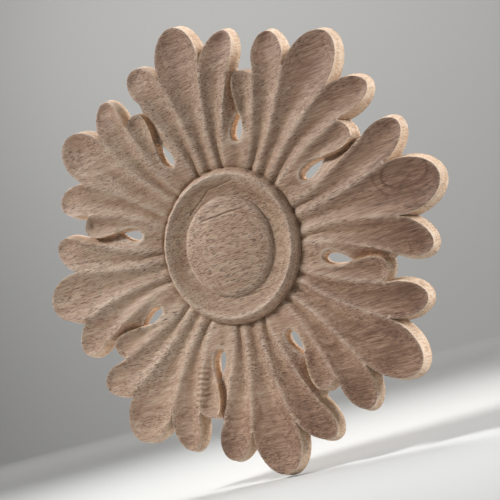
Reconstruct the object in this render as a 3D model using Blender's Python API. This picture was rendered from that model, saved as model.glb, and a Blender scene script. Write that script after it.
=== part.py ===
"""Carved wooden rosette, one solid, modelled in metres with +Z up.

The flat back lies in the plane y = 0 with its centre at the origin, and the carved front faces -Y.
Eight leaves stand round a raised ring with a low dome in it. The leaves on the X and Z axes have
three lobes, and those between them have two short lobes more, which lie over their neighbours.
The walls flare towards the back, and the eyes between the leaves narrow towards it.

The carving is worked out on one eighth of the rosette, between the middle lines of two
neighbouring leaves, and mirrored round. Its plan is flat, with x to the right and y up, and every
point of the plan gets a height above the back.
"""

import math

import bmesh
import bpy
import numpy as np
from mathutils.geometry import delaunay_2d_cdt

MM = 0.001

# Overall sizes: the tips reach this far on the front, and FLARE further on the back
TIP_RADIUS = 98.6 * MM
FLARE = 1.4 * MM
NOTCH_HEIGHT = 7.4 * MM
EIGHTH = math.radians(45.0)
RAY = math.radians(22.5)

# Ring and dome, turned about the centre
FOOT_RADIUS = 33.7 * MM
CREST_RADIUS = 30.6 * MM
CREST_HEIGHT = 5.9 * MM
GROOVE_RADIUS = 21.7 * MM
GROOVE_HEIGHT = 3.3 * MM
DOME_RADIUS = 20.8 * MM
DOME_EDGE_HEIGHT = 4.6 * MM
DOME_HEIGHT = 7.0 * MM
COVE_POWER = 1.5
SHOULDER = 0.3
SHOULDER_DROP = 0.5 * MM
DOME_SHARES = (0.3, 0.6, 0.85, 1.0)
COVE_SHARES = (0.0, 0.3, 0.6, 0.85, 1.0)

# Lobes of a leaf: centre along and across the leaf, half length, half width and turn
CENTRE_LOBE = (82.7 * MM, 0.0, 15.9 * MM, 10.9 * MM, 0.0)
MIDDLE_LOBE = (77.9 * MM, 18.7 * MM, 12.1 * MM, 7.3 * MM, math.radians(36.0))
SHORT_LOBE = (57.3 * MM, 12.1 * MM, 20.2 * MM, 8.6 * MM, math.radians(61.0))
CENTRE_ARC = (0.0, 103.0)
MIDDLE_ARC = (-105.0, 101.0)
SHORT_ARC = (10.7, -44.0)
WALL_ARC = (67.0, 10.7)

# Notches between the lobes, and where the side ridge of a three-lobe leaf ends
CENTRE_NOTCH = (78.3 * MM, 10.8 * MM)
SHORT_NOTCH = (69.6 * MM, 21.9 * MM)
LEDGE_POINT = (71.5 * MM, 23.3 * MM)

# Angles at which the edge of the back leaves the middle lobe and reaches the short lobe's tip
LEDGE_LEAVES = 96.5
LEDGE_REACHES = 2.0

# Ridges and valleys leave the foot of the ring this far to the side of the leaf's middle line
CENTRE_RIDGE_FOOT = 3.8 * MM
MIDDLE_VALLEY_FOOT = 6.4 * MM
SIDE_RIDGE_FOOT = 8.0 * MM
RIDGE_POWER = 2.0
SIDE_POWER = 1.35
CENTRE_VALLEY_END = (86.4 * MM, 0.0)
MIDDLE_VALLEY_END = (82.5 * MM, 22.8 * MM)
SHORT_VALLEY_START = (48.2 * MM, 16.1 * MM)
SHORT_VALLEY_END = (65.3 * MM, 25.0 * MM)

# Beyond their ends the ridges go on towards the rim with these slopes
RIDGE_SLOPE = 0.09
SIDE_SLOPE = 2.0

# Eye between two leaves, along the ray that parts them
EYE_START = 43.4 * MM
EYE_HALF_WIDTH = 3.9 * MM
EYE_SHIFT = 0.5 * MM
EYE_SPREAD = 1.7
EYE_VALLEY_SHARE = 0.45
EYE_LENGTH = 18.0 * MM
EYE_FINENESS = 0.6
EYE_TIP_GAP = 0.2 * MM

# Heights of the crests, and depths of the scoops below them at the ring and at the lobe
FOOT_CREST_HEIGHT = 3.0 * MM
CREST_POWER = 1.6
CENTRE_DEPTHS = (1.25 * MM, 2.35 * MM)
MIDDLE_DEPTHS = (1.25 * MM, 1.95 * MM)
SHORT_DEPTHS = (0.4 * MM, 1.55 * MM)
APRON_DEPTHS = (0.4 * MM, 3.7 * MM)
SCOOP_SPAN = (35.0 * MM, 73.0 * MM)
SHORT_SPAN = (43.0 * MM, 57.0 * MM)
APRON_SPAN = (42.0 * MM, 60.0 * MM)
WALL_BATTER = 0.4 * MM
WALL_SPLIT = 0.3

# The rims of the lobes sink beyond this radius: how far, and the radius at which they are that low
SINK_RADIUS = 79.0 * MM
CENTRE_SINK = (1.4 * MM, TIP_RADIUS)
MIDDLE_SINK = (2.4 * MM, 91.4 * MM)
SINK_POWER = 1.5

# Fineness of the faceted solid
LINE_STEP = 3.6 * MM
FILL_STEP = 4.0 * MM
FILL_CLEARANCE = 0.6
LOBE_LENGTH = 24.0 * MM
TAIL_LENGTH = 12.0 * MM
SHORT_LENGTH = 15.0 * MM
SAME_POINT = 0.01 * MM
MERGE_DISTANCE = 0.01 * MM
BISECTIONS = 40

WOOD_COLOUR = (0.40, 0.28, 0.20, 1.0)
WOOD_ROUGHNESS = 0.62
SHARP_ANGLE = math.radians(40.0)


def smooth_step(value, low, high):
    """Rises from 0 at low to 1 at high with level ends."""
    share = np.clip((value - low) / (high - low), 0.0, 1.0)
    return share * share * (3.0 - 2.0 * share)


def grown(lobe, by):
    """A lobe made larger all round."""
    centre_x, centre_y, half_length, half_width, turn = lobe
    return (centre_x, centre_y, half_length + by, half_width + by, turn)


def ellipse_point(lobe, degrees):
    """Point of a lobe's ellipse at an angle counted from its long axis."""
    centre_x, centre_y, half_length, half_width, turn = lobe
    along = half_length * math.cos(math.radians(degrees))
    across = half_width * math.sin(math.radians(degrees))
    return np.array([
        centre_x + along * math.cos(turn) - across * math.sin(turn),
        centre_y + along * math.sin(turn) + across * math.cos(turn),
    ])


def ellipse_arc(lobe, span, count):
    """Points along part of a lobe's ellipse."""
    return np.array([ellipse_point(lobe, angle) for angle in np.linspace(span[0], span[1], count)])


def in_lobe(points, lobe):
    """Whether each point lies inside a lobe's ellipse."""
    centre_x, centre_y, half_length, half_width, turn = lobe
    x, y = points[:, 0] - centre_x, points[:, 1] - centre_y
    along = (x * math.cos(turn) + y * math.sin(turn)) / half_length
    across = (y * math.cos(turn) - x * math.sin(turn)) / half_width
    return np.hypot(along, across) < 1.0


def meeting_angle(lobe, other, outside, within):
    """Angle on a lobe's ellipse at which it enters another lobe, between one outside and one within."""
    for _ in range(BISECTIONS):
        middle = 0.5 * (outside + within)
        if in_lobe(ellipse_point(lobe, middle)[None, :], other)[0]:
            within = middle
        else:
            outside = middle
    return outside


def flute_line(foot, end, power, count):
    """Line from the foot of the ring, foot to the side of the middle line, bending out to end."""
    start_x = math.sqrt(FOOT_RADIUS**2 - foot**2)
    share = np.linspace(0.0, 1.0, count)
    along = start_x + (end[0] - start_x) * share
    across = foot + (end[1] - foot) * share**power
    return np.column_stack([along, across])


def straight(start, end, count):
    """Points along a straight line."""
    share = np.linspace(0.0, 1.0, count)[:, None]
    return np.asarray(start) * (1.0 - share) + np.asarray(end) * share


def turned_over(points):
    """Takes points from a five-lobe leaf's own plan to the plan of the eighth, or back."""
    cosine, sine = math.cos(EIGHTH), math.sin(EIGHTH)
    x, y = points[:, 0], points[:, 1]
    return np.column_stack([cosine * x + sine * y, sine * x - cosine * y])


def steps(length, step):
    """Number of points that divides a length into steps."""
    return max(2, int(round(length / step)) + 1)


def eye_sides(start_radius, half_width, end, count):
    """The two sides of the eye: round at the ring's end, pointed at the outer end.

    The first is on the five-lobe leaf and the second on the three-lobe leaf. Both run outwards.
    """
    along_ray = np.array([math.cos(RAY), math.sin(RAY)])
    towards_three = np.array([math.sin(RAY), -math.cos(RAY)])
    start = along_ray * start_radius + towards_three * EYE_SHIFT
    share = np.linspace(0.0, 1.0, count) ** EYE_SPREAD
    middle = start + (end - start) * share[:, None]
    # This curve is fullest, with a width of one, a third of the way along
    fullness = 1.5 * math.sqrt(3.0) * np.sqrt(share) * (1.0 - share)
    bulge = half_width * fullness[:, None] * towards_three
    return middle - bulge, middle + bulge


class EighthPlan:
    """The lines of the carving on one eighth, at a given fineness."""

    def __init__(self, step):
        foot_x = math.sqrt(FOOT_RADIUS**2 - CENTRE_RIDGE_FOOT**2)
        flutes = steps(CENTRE_NOTCH[0] - foot_x, step)
        lobe = steps(LOBE_LENGTH, step)
        ridge = flute_line(CENTRE_RIDGE_FOOT, CENTRE_NOTCH, RIDGE_POWER, flutes)
        valley = flute_line(MIDDLE_VALLEY_FOOT, MIDDLE_VALLEY_END, RIDGE_POWER, flutes)
        centre_arc = ellipse_arc(CENTRE_LOBE, CENTRE_ARC, lobe)
        middle_arc = ellipse_arc(MIDDLE_LOBE, MIDDLE_ARC, 2 * lobe - 1)
        centre_valley = straight((FOOT_RADIUS, 0.0), CENTRE_VALLEY_END, flutes)
        tail = straight(CENTRE_VALLEY_END, (TIP_RADIUS, 0.0), steps(TAIL_LENGTH, step))[1:]

        # Three-lobe leaf, on the plan's own axis
        self.three_ridge = ridge
        self.three_valley = valley
        self.three_side = flute_line(SIDE_RIDGE_FOOT, LEDGE_POINT, SIDE_POWER, flutes)
        self.three_centre = centre_valley
        self.three_centre_arc = centre_arc
        self.three_middle_arc = middle_arc
        self.three_tail = tail

        # Five-lobe leaf, turned over on to the far side of the eighth
        self.five_ridge = turned_over(ridge)
        self.five_valley = turned_over(valley)
        self.five_side = turned_over(flute_line(SIDE_RIDGE_FOOT, SHORT_NOTCH, SIDE_POWER, flutes))
        self.five_centre = turned_over(centre_valley)
        self.five_centre_arc = turned_over(centre_arc)
        self.five_middle_arc = turned_over(middle_arc)
        self.five_tail = turned_over(tail)
        short = steps(SHORT_LENGTH, step)
        self.short_arc = turned_over(ellipse_arc(SHORT_LOBE, SHORT_ARC, short))
        self.wall_top = turned_over(ellipse_arc(SHORT_LOBE, WALL_ARC, short))
        self.wall_base = turned_over(ellipse_arc(grown(SHORT_LOBE, WALL_BATTER), WALL_ARC, short))
        self.short_valley = turned_over(straight(SHORT_VALLEY_START, SHORT_VALLEY_END, short))

        # Web and eye between them
        eye = steps(EYE_LENGTH, EYE_FINENESS * step)
        self.eye_five, self.eye_three = eye_sides(EYE_START, EYE_HALF_WIDTH, self.wall_top[0], eye)
        self.eye_three[-1] = self.wall_base[0]
        ray_start = FOOT_RADIUS * np.array([math.cos(RAY), math.sin(RAY)])
        self.web = straight(ray_start, self.eye_five[0], steps(EYE_START - FOOT_RADIUS, step))

    def outline(self):
        """The free edge of the front, from the three-lobe leaf's tip to the five-lobe leaf's tip."""
        notch = np.array([CENTRE_NOTCH])
        return np.vstack([
            self.three_centre_arc,
            notch,
            self.three_middle_arc[:-1],
            np.array([LEDGE_POINT]),
            self.wall_base[-1:],
            self.short_arc[:-1],
            turned_over(np.array([SHORT_NOTCH])),
            self.five_middle_arc[::-1],
            turned_over(notch),
            self.five_centre_arc[::-1],
        ])

    def back_outline(self):
        """The edge of the back, below the free edge of the front, with as many points.

        It follows the lobes grown by the flare of the walls, each as far as the next one.
        """
        centre = grown(CENTRE_LOBE, FLARE)
        middle = grown(MIDDLE_LOBE, FLARE)
        short = grown(SHORT_LOBE, FLARE)
        centre_end = meeting_angle(centre, middle, 0.0, 110.0)
        middle_start = meeting_angle(middle, centre, 0.0, -110.0)
        middle_end = meeting_angle(middle, short, 0.0, 140.0)
        short_end = meeting_angle(short, middle, 0.0, -60.0)
        centres = len(self.three_centre_arc)
        middles = len(self.three_middle_arc)
        shorts = len(self.short_arc)
        return np.vstack([
            ellipse_arc(centre, (0.0, centre_end), centres + 1),
            ellipse_arc(middle, (middle_start, LEDGE_LEAVES), middles + 1)[1:],
            turned_over(ellipse_arc(short, (LEDGE_REACHES, short_end), shorts + 1)),
            turned_over(ellipse_arc(middle, (middle_end, middle_start), middles + 2)[1:]),
            turned_over(ellipse_arc(centre, (centre_end, 0.0), centres + 1)[1:]),
        ])

    def eye(self):
        """The edge of the eye on the front, as a closed run of points."""
        return np.vstack([self.eye_five, self.eye_three[::-1][:-1]])

    def back_eye(self):
        """The edge of the eye on the back, below the edge on the front, with as many points."""
        tip = self.wall_top[0]
        end = tip * (1.0 - FLARE / np.linalg.norm(tip))
        five, three = eye_sides(EYE_START + FLARE, EYE_HALF_WIDTH - FLARE, end, len(self.eye_five))
        three[-1] = end + EYE_TIP_GAP * np.array([math.sin(RAY), -math.cos(RAY)])
        return np.vstack([five, three[::-1][:-1]])

    def foot(self):
        """Points where the carving meets the foot of the ring, between the two middle lines."""
        lines = (self.three_centre, self.three_ridge, self.three_valley, self.three_side)
        three = [line[0] for line in lines]
        five = [line[0] for line in (self.five_side, self.five_valley, self.five_ridge, self.five_centre)]
        return np.array(three + [self.web[0]] + five)

    def lines(self):
        """The creases inside the plan."""
        return (
            self.three_centre,
            self.three_tail,
            self.three_ridge,
            self.three_valley,
            self.three_side,
            self.five_centre,
            self.five_tail,
            self.five_ridge,
            self.five_valley,
            self.five_side,
            self.wall_top,
            self.wall_base,
            self.short_valley,
            self.web,
        )

    def boundary(self):
        """The whole edge of the eighth's plan outside the ring, counterclockwise."""
        return np.vstack([
            self.three_centre[:-1],
            np.array([CENTRE_VALLEY_END]),
            self.three_tail[:-1],
            self.outline()[:-1],
            self.five_tail[::-1],
            self.five_centre[::-1],
            self.foot()[::-1][1:-1],
        ])


def line_distance(points, line):
    """Distance of each point from a line of points."""
    start, run = line[:-1], np.diff(line, axis=0)
    length = np.linalg.norm(run, axis=1)
    start, run = start[length > 0.0], run[length > 0.0]
    offset = points[:, None, :] - start[None, :, :]
    share = np.clip((offset * run).sum(2) / (run * run).sum(1), 0.0, 1.0)
    return np.linalg.norm(offset - share[:, :, None] * run, axis=2).min(1)


def crest_height(radius):
    """Height of the crests at a radius: up from the ring to the notches, then level."""
    fall = np.clip((CENTRE_NOTCH[0] - radius) / (CENTRE_NOTCH[0] - FOOT_RADIUS), 0.0, 1.0)
    return NOTCH_HEIGHT - (NOTCH_HEIGHT - FOOT_CREST_HEIGHT) * fall**CREST_POWER


def sink(points, amount, reach):
    """How far the rim of a lobe lies below the notches: by amount at the radius reach."""
    radius = np.linalg.norm(points, axis=1)
    out = np.clip((radius - SINK_RADIUS) / (reach - SINK_RADIUS), 0.0, None)
    return amount * out**SINK_POWER


def scoop(points, valley, rim, depths, span):
    """Depth of a scoop: full along its valley, nothing along its rim."""
    from_valley = line_distance(points, valley)
    from_rim = line_distance(points, rim)
    share = from_valley / np.maximum(from_valley + from_rim, 1e-9)
    rolled = 0.5 + 0.5 * np.cos(math.pi * share)
    gouged = 1.0 - share * share
    along = points[:, 0]
    sharp = smooth_step(along, *SCOOP_SPAN)
    depth = depths[0] + (depths[1] - depths[0]) * smooth_step(along, *span)
    return depth * (rolled * (1.0 - sharp) + gouged * sharp)


def side_of(along, ridge, end, slope):
    """How far to the side a ridge lies, carried on outwards past its end."""
    inner = np.interp(along, ridge[:, 0], ridge[:, 1])
    return np.where(along < end[0], inner, end[1] + slope * (along - end[0]))


def leaf_depth(points, leaf, edge):
    """Depth below the crests on one leaf, in the leaf's own plan.

    leaf holds the leaf's lines, and edge is the depth beyond its side ridge.
    """
    along, across = points[:, 0], points[:, 1]
    centre_rim = np.vstack([leaf["ridge"], leaf["centre_arc"][::-1]])
    middle_rim = np.vstack([leaf["ridge"], leaf["middle_arc"], leaf["side"][::-1]])
    centre = scoop(points, leaf["centre"], centre_rim, CENTRE_DEPTHS, SCOOP_SPAN)
    middle = scoop(points, leaf["valley"], middle_rim, MIDDLE_DEPTHS, SCOOP_SPAN)
    centre = centre + sink(points, *CENTRE_SINK)
    middle = middle + sink(points, *MIDDLE_SINK)
    depth = np.where(across > side_of(along, leaf["ridge"], CENTRE_NOTCH, RIDGE_SLOPE), middle, centre)
    return np.where(across > side_of(along, leaf["side"], leaf["side"][-1], SIDE_SLOPE), edge, depth)


def plan_heights(points, plan):
    """Height above the back of each point of the eighth's plan, outside the ring."""
    three = {
        "ridge": plan.three_ridge,
        "valley": plan.three_valley,
        "side": plan.three_side,
        "centre": plan.three_centre,
        "centre_arc": plan.three_centre_arc,
        "middle_arc": plan.three_middle_arc,
    }
    apron = np.vstack([plan.web, plan.eye_three[1:], plan.wall_base[1:]])
    three_depth = leaf_depth(points, three, scoop(points, apron, three["side"], APRON_DEPTHS, APRON_SPAN))

    own = turned_over(points)
    five = {
        "ridge": turned_over(plan.five_ridge),
        "valley": turned_over(plan.five_valley),
        "side": turned_over(plan.five_side),
        "centre": turned_over(plan.five_centre),
        "centre_arc": plan.three_centre_arc,
        "middle_arc": plan.three_middle_arc,
    }
    beside_eye = plan.eye_five[: int(EYE_VALLEY_SHARE * len(plan.eye_five))]
    valley = turned_over(np.vstack([plan.web, beside_eye[1:], plan.short_valley]))
    short_rim = turned_over(np.vstack([plan.short_arc[::-1], plan.wall_top[::-1]]))
    rim = np.vstack([five["side"], short_rim])
    five_depth = leaf_depth(own, five, scoop(own, valley, rim, SHORT_DEPTHS, SHORT_SPAN))

    depth = np.where(belongs_to_five(points, plan), five_depth, three_depth)
    return crest_height(np.linalg.norm(points, axis=1)) - depth


def belongs_to_five(points, plan):
    """Whether a point lies on the five-lobe leaf: past the ray, or inside the short lobe's wall."""
    past_ray = np.arctan2(points[:, 1], points[:, 0]) > RAY
    wall_line = grown(SHORT_LOBE, WALL_SPLIT * WALL_BATTER)
    beyond_eye = np.linalg.norm(points, axis=1) > np.linalg.norm(plan.wall_top[0]) - EYE_TIP_GAP
    return past_ray | (beyond_eye & in_lobe(turned_over(points), wall_line))


def inside(points, polygon):
    """Whether each point lies inside a polygon."""
    x, y = points[:, 0][:, None], points[:, 1][:, None]
    x1, y1 = polygon[:, 0], polygon[:, 1]
    x2, y2 = np.roll(x1, -1), np.roll(y1, -1)
    spans = (y1 > y) != (y2 > y)
    with np.errstate(divide="ignore", invalid="ignore"):
        crossing = x < (x2 - x1) * (y - y1) / (y2 - y1) + x1
    return (spans & crossing).sum(1) % 2 == 1


def fill_points(boundary, eye, lines, step):
    """Points in rows across the plan, kept clear of its edges and creases."""
    rows = []
    for row, y in enumerate(np.arange(0.0, TIP_RADIUS, step * math.sqrt(0.75))):
        x = np.arange(0.0, TIP_RADIUS, step) + (row % 2) * 0.5 * step
        rows.append(np.column_stack([x, np.full(len(x), y)]))
    points = np.vstack(rows)
    points = points[inside(points, boundary) & ~inside(points, eye)]
    edges = (boundary, np.vstack([eye, eye[:1]])) + tuple(lines)
    for line in edges:
        points = points[line_distance(points, line) > FILL_CLEARANCE * step]
    return points


class PointSet:
    """Collects points and the edges between them, each point once."""

    def __init__(self):
        self.points = []
        self.edges = set()
        self.index = {}

    def add(self, point):
        """Index of a point, which is added if it is new."""
        key = (round(point[0] / SAME_POINT), round(point[1] / SAME_POINT))
        if key not in self.index:
            self.index[key] = len(self.points)
            self.points.append((float(point[0]), float(point[1])))
        return self.index[key]

    def add_line(self, line, closed=False):
        """Adds a run of points with the edges along it."""
        ids = [self.add(point) for point in line]
        pairs = list(zip(ids, ids[1:]))
        if closed:
            pairs.append((ids[-1], ids[0]))
        self.edges |= {pair for pair in pairs if pair[0] != pair[1]}


def triangulate(point_set, boundary, eye):
    """Triangles over the plan between the boundary and the eye."""
    done = delaunay_2d_cdt(point_set.points, sorted(point_set.edges), [], 0, 1e-9)
    points = np.array([tuple(point) for point in done[0]])
    triangles = np.array([tuple(face) for face in done[2]])
    centres = points[triangles].mean(axis=1)
    keep = inside(centres, boundary) & ~inside(centres, eye)
    return points, triangles[keep]


def ring_profile():
    """Radii and heights of the turned middle, from the centre out to just short of the ring's foot."""
    dome = [
        (DOME_RADIUS * share, DOME_HEIGHT - (DOME_HEIGHT - DOME_EDGE_HEIGHT) * share**2)
        for share in DOME_SHARES
    ]
    cove = []
    for share in COVE_SHARES:
        radius = GROOVE_RADIUS + (CREST_RADIUS - GROOVE_RADIUS) * share
        cove.append((radius, GROOVE_HEIGHT + (CREST_HEIGHT - GROOVE_HEIGHT) * share**COVE_POWER))
    shoulder_radius = CREST_RADIUS + SHOULDER * (FOOT_RADIUS - CREST_RADIUS)
    return dome + cove + [(shoulder_radius, CREST_HEIGHT - SHOULDER_DROP)]


def add_ring(bm, foot_vertices):
    """Builds the dome, the cove and the ring inside the vertices along its foot."""
    angles = [math.atan2(vertex.co.y, vertex.co.x) for vertex in foot_vertices]
    inner = [bm.verts.new((0.0, 0.0, DOME_HEIGHT))] * len(angles)
    for radius, height in ring_profile():
        outer = [bm.verts.new((radius * math.cos(a), radius * math.sin(a), height)) for a in angles]
        join_rows(bm, inner, outer)
        inner = outer
    join_rows(bm, inner, foot_vertices)


def join_rows(bm, inner, outer):
    """Faces between two rows of vertices with as many in each."""
    for place in range(len(inner) - 1):
        corners = (inner[place], outer[place], outer[place + 1], inner[place + 1])
        bm.faces.new(list(dict.fromkeys(corners)))


def nearest(vertices, point):
    """The vertex nearest to a point of the plan."""
    return min(vertices, key=lambda vertex: (vertex.co.x - point[0]) ** 2 + (vertex.co.y - point[1]) ** 2)


def add_walls_and_back(bm, front, plan):
    """Joins the free edges of the front to those of the back, and closes the back with a flat face."""
    outline, eye = plan.back_outline(), plan.back_eye()
    corners = [bm.verts.new((0.0, 0.0, 0.0))]
    for upper, lower, closed in ((plan.outline(), outline, False), (plan.eye(), eye, True)):
        top = [nearest(front, point) for point in upper]
        bottom = [bm.verts.new((x, y, 0.0)) for x, y in lower]
        corners += bottom
        if closed:
            join_rows(bm, top + top[:1], bottom + bottom[:1])
        else:
            join_rows(bm, top, bottom)

    boundary = np.vstack([[(0.0, 0.0)], outline])
    flat = PointSet()
    flat.add_line(boundary, closed=True)
    flat.add_line(eye, closed=True)
    points, triangles = triangulate(flat, boundary, eye)
    ids = [nearest(corners, point) for point in points]
    for triangle in triangles:
        bm.faces.new([ids[corner] for corner in reversed(triangle)])


def stand_up(bm):
    """Turns the plan upright: up in the plan becomes +Z, and the front faces -Y."""
    for vertex in bm.verts:
        x, y, height = vertex.co
        vertex.co = (x, -height, y)


def build_eighth(name):
    """Mesh of one eighth of the rosette: front, walls and back, open where it is mirrored."""
    plan = EighthPlan(LINE_STEP)
    boundary, eye = plan.boundary(), plan.eye()
    point_set = PointSet()
    point_set.add_line(boundary, closed=True)
    point_set.add_line(eye, closed=True)
    for line in plan.lines():
        point_set.add_line(line)
    for point in fill_points(boundary, eye, plan.lines(), FILL_STEP):
        point_set.add(point)
    points, triangles = triangulate(point_set, boundary, eye)
    heights = plan_heights(points, plan)

    bm = bmesh.new()
    front = [bm.verts.new((x, y, height)) for (x, y), height in zip(points, heights)]
    for triangle in triangles:
        bm.faces.new([front[corner] for corner in triangle])
    add_ring(bm, [nearest(front, point) for point in plan.foot()])
    add_walls_and_back(bm, front, plan)
    bmesh.ops.recalc_face_normals(bm, faces=bm.faces)
    bmesh.ops.triangulate(bm, faces=bm.faces)
    stand_up(bm)
    mesh = bpy.data.meshes.new(name)
    bm.to_mesh(mesh)
    bm.free()
    return mesh


def wood_material():
    """Pale sanded hardwood."""
    material = bpy.data.materials.new("carved_wood")
    material.use_nodes = True
    shader = material.node_tree.nodes["Principled BSDF"]
    shader.inputs["Base Color"].default_value = WOOD_COLOUR
    shader.inputs["Roughness"].default_value = WOOD_ROUGHNESS
    shader.inputs["Metallic"].default_value = 0.0
    return material


def mirror(rosette, name, axes, across=None):
    """Adds a Mirror modifier, about the object's own planes or those of another."""
    modifier = rosette.modifiers.new(name, "MIRROR")
    modifier.use_axis = axes
    modifier.mirror_object = across
    modifier.use_mirror_merge = True
    modifier.merge_threshold = MERGE_DISTANCE


def build_rosette():
    """The whole rosette: the eighth mirrored about the diagonal, then about both axes."""
    rosette = bpy.data.objects.new("rosette", build_eighth("rosette"))
    bpy.context.scene.collection.objects.link(rosette)
    diagonal = bpy.data.objects.new("diagonal", None)
    bpy.context.scene.collection.objects.link(diagonal)
    diagonal.rotation_euler = (0.0, -EIGHTH, 0.0)
    mirror(rosette, "Across the diagonal", (False, False, True), diagonal)
    mirror(rosette, "Left and right, up and down", (True, False, True))
    rosette.data.materials.append(wood_material())
    rosette.data.shade_smooth()
    rosette.data.set_sharp_from_angle(angle=SHARP_ANGLE)


def main():
    """Builds the rosette in an emptied scene."""
    for old in list(bpy.data.objects):
        bpy.data.objects.remove(old, do_unlink=True)
    build_rosette()


main()
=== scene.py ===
"""Looks of a carved wooden rosette: its fine carving, its wood, and the studio round it.

Lengths are in metres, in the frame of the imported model: +Z is up, the flat back lies in the plane
y = 0 and the carved front faces -Y. The carving is worked out on a flat plan with x to the right
and y up, where every point gets a height above the back. One eighth of the plan, between the
middle lines of two neighbouring leaves, is carved and mirrored round, and the marks that only one
place has are cut last.
"""

from __future__ import annotations

import logging
import math
from collections.abc import Iterable
from dataclasses import dataclass, field
from enum import Enum

import bmesh
import bpy
import numpy as np
from mathutils import Matrix, Vector, noise
from mathutils.geometry import delaunay_2d_cdt

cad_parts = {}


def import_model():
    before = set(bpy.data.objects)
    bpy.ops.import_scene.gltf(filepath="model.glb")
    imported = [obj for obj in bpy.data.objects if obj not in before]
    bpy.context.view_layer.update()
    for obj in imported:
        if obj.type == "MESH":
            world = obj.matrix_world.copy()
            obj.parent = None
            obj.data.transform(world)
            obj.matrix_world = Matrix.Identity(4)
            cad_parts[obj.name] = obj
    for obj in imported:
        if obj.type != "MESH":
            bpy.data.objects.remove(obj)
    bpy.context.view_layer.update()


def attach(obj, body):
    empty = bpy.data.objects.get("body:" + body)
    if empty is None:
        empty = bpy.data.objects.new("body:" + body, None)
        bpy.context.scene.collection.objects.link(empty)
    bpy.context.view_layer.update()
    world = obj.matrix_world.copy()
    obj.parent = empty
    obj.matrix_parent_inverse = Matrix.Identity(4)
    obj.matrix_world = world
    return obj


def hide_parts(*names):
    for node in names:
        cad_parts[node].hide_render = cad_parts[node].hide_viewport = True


MM = 0.001
# Lengths below this count as nothing
TINY = 1e-9
# Points closer together than this are one point
SAME_PLACE = 0.01 * MM
# Vertices further forward than this are on the carved front or high on a wall
FRONT_DEPTH = 0.5 * MM
# Points of a rough arc, and halvings of an angle, that are enough to measure with
ROUGH_POINTS = 40
HALVINGS = 40
EIGHTH = math.radians(45.0)
RAY = math.radians(22.5)
LOG = logging.getLogger("rosette")
Pair = tuple[float, float]
Triple = tuple[float, float, float]
Colour = tuple[float, float, float, float]
Vertex = bmesh.types.BMVert
Socket = bpy.types.NodeSocket
Value = float | tuple[float, ...] | Socket


class LeafKind(Enum):
    """The two kinds of leaf that take turns round the rosette."""

    THREE_LOBES = "three lobes"
    FIVE_LOBES = "five lobes"


def smooth_step(value: np.ndarray, low: float, high: float) -> np.ndarray:
    """Rises from 0 at low to 1 at high with level ends."""
    share = np.clip((value - low) / (high - low), 0.0, 1.0)
    return share * share * (3.0 - 2.0 * share)


def turned_over(points: np.ndarray) -> np.ndarray:
    """Takes points from a five-lobe leaf's own plan to the plan of the eighth, or back."""
    cosine, sine = math.cos(EIGHTH), math.sin(EIGHTH)
    x, y = points[:, 0], points[:, 1]
    return np.column_stack([cosine * x + sine * y, sine * x - cosine * y])


def straight(start: np.ndarray, end: np.ndarray, step: float) -> np.ndarray:
    """Points along a straight line.

    Args:
        start: Its first point.
        end: Its last point.
        step: Distance between points, about.

    Returns:
        One row for each point.
    """
    start, end = np.asarray(start, float), np.asarray(end, float)
    count = max(2, int(round(np.linalg.norm(end - start) / step)) + 1)
    share = np.linspace(0.0, 1.0, count)[:, None]
    return start * (1.0 - share) + end * share


def line_distance(points: np.ndarray, line: np.ndarray) -> np.ndarray:
    """Distance of each point from a line of points."""
    start, run = line[:-1], np.diff(line, axis=0)
    length = np.linalg.norm(run, axis=1)
    start, run = start[length > 0.0], run[length > 0.0]
    best = np.full(len(points), np.inf)
    for corner, way in zip(start, run):
        offset = points - corner
        share = np.clip(offset @ way / (way @ way), 0.0, 1.0)
        best = np.minimum(best, np.hypot(*(offset - share[:, None] * way).T))
    return best


def inside(points: np.ndarray, polygon: np.ndarray) -> np.ndarray:
    """Whether each point lies inside a polygon."""
    x, y = points[:, 0], points[:, 1]
    within = np.zeros(len(points), bool)
    for (x1, y1), (x2, y2) in zip(polygon, np.roll(polygon, -1, axis=0)):
        if y1 == y2:
            continue
        spans = (y1 > y) != (y2 > y)
        within ^= spans & (x < (x2 - x1) * (y - y1) / (y2 - y1) + x1)
    return within


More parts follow.
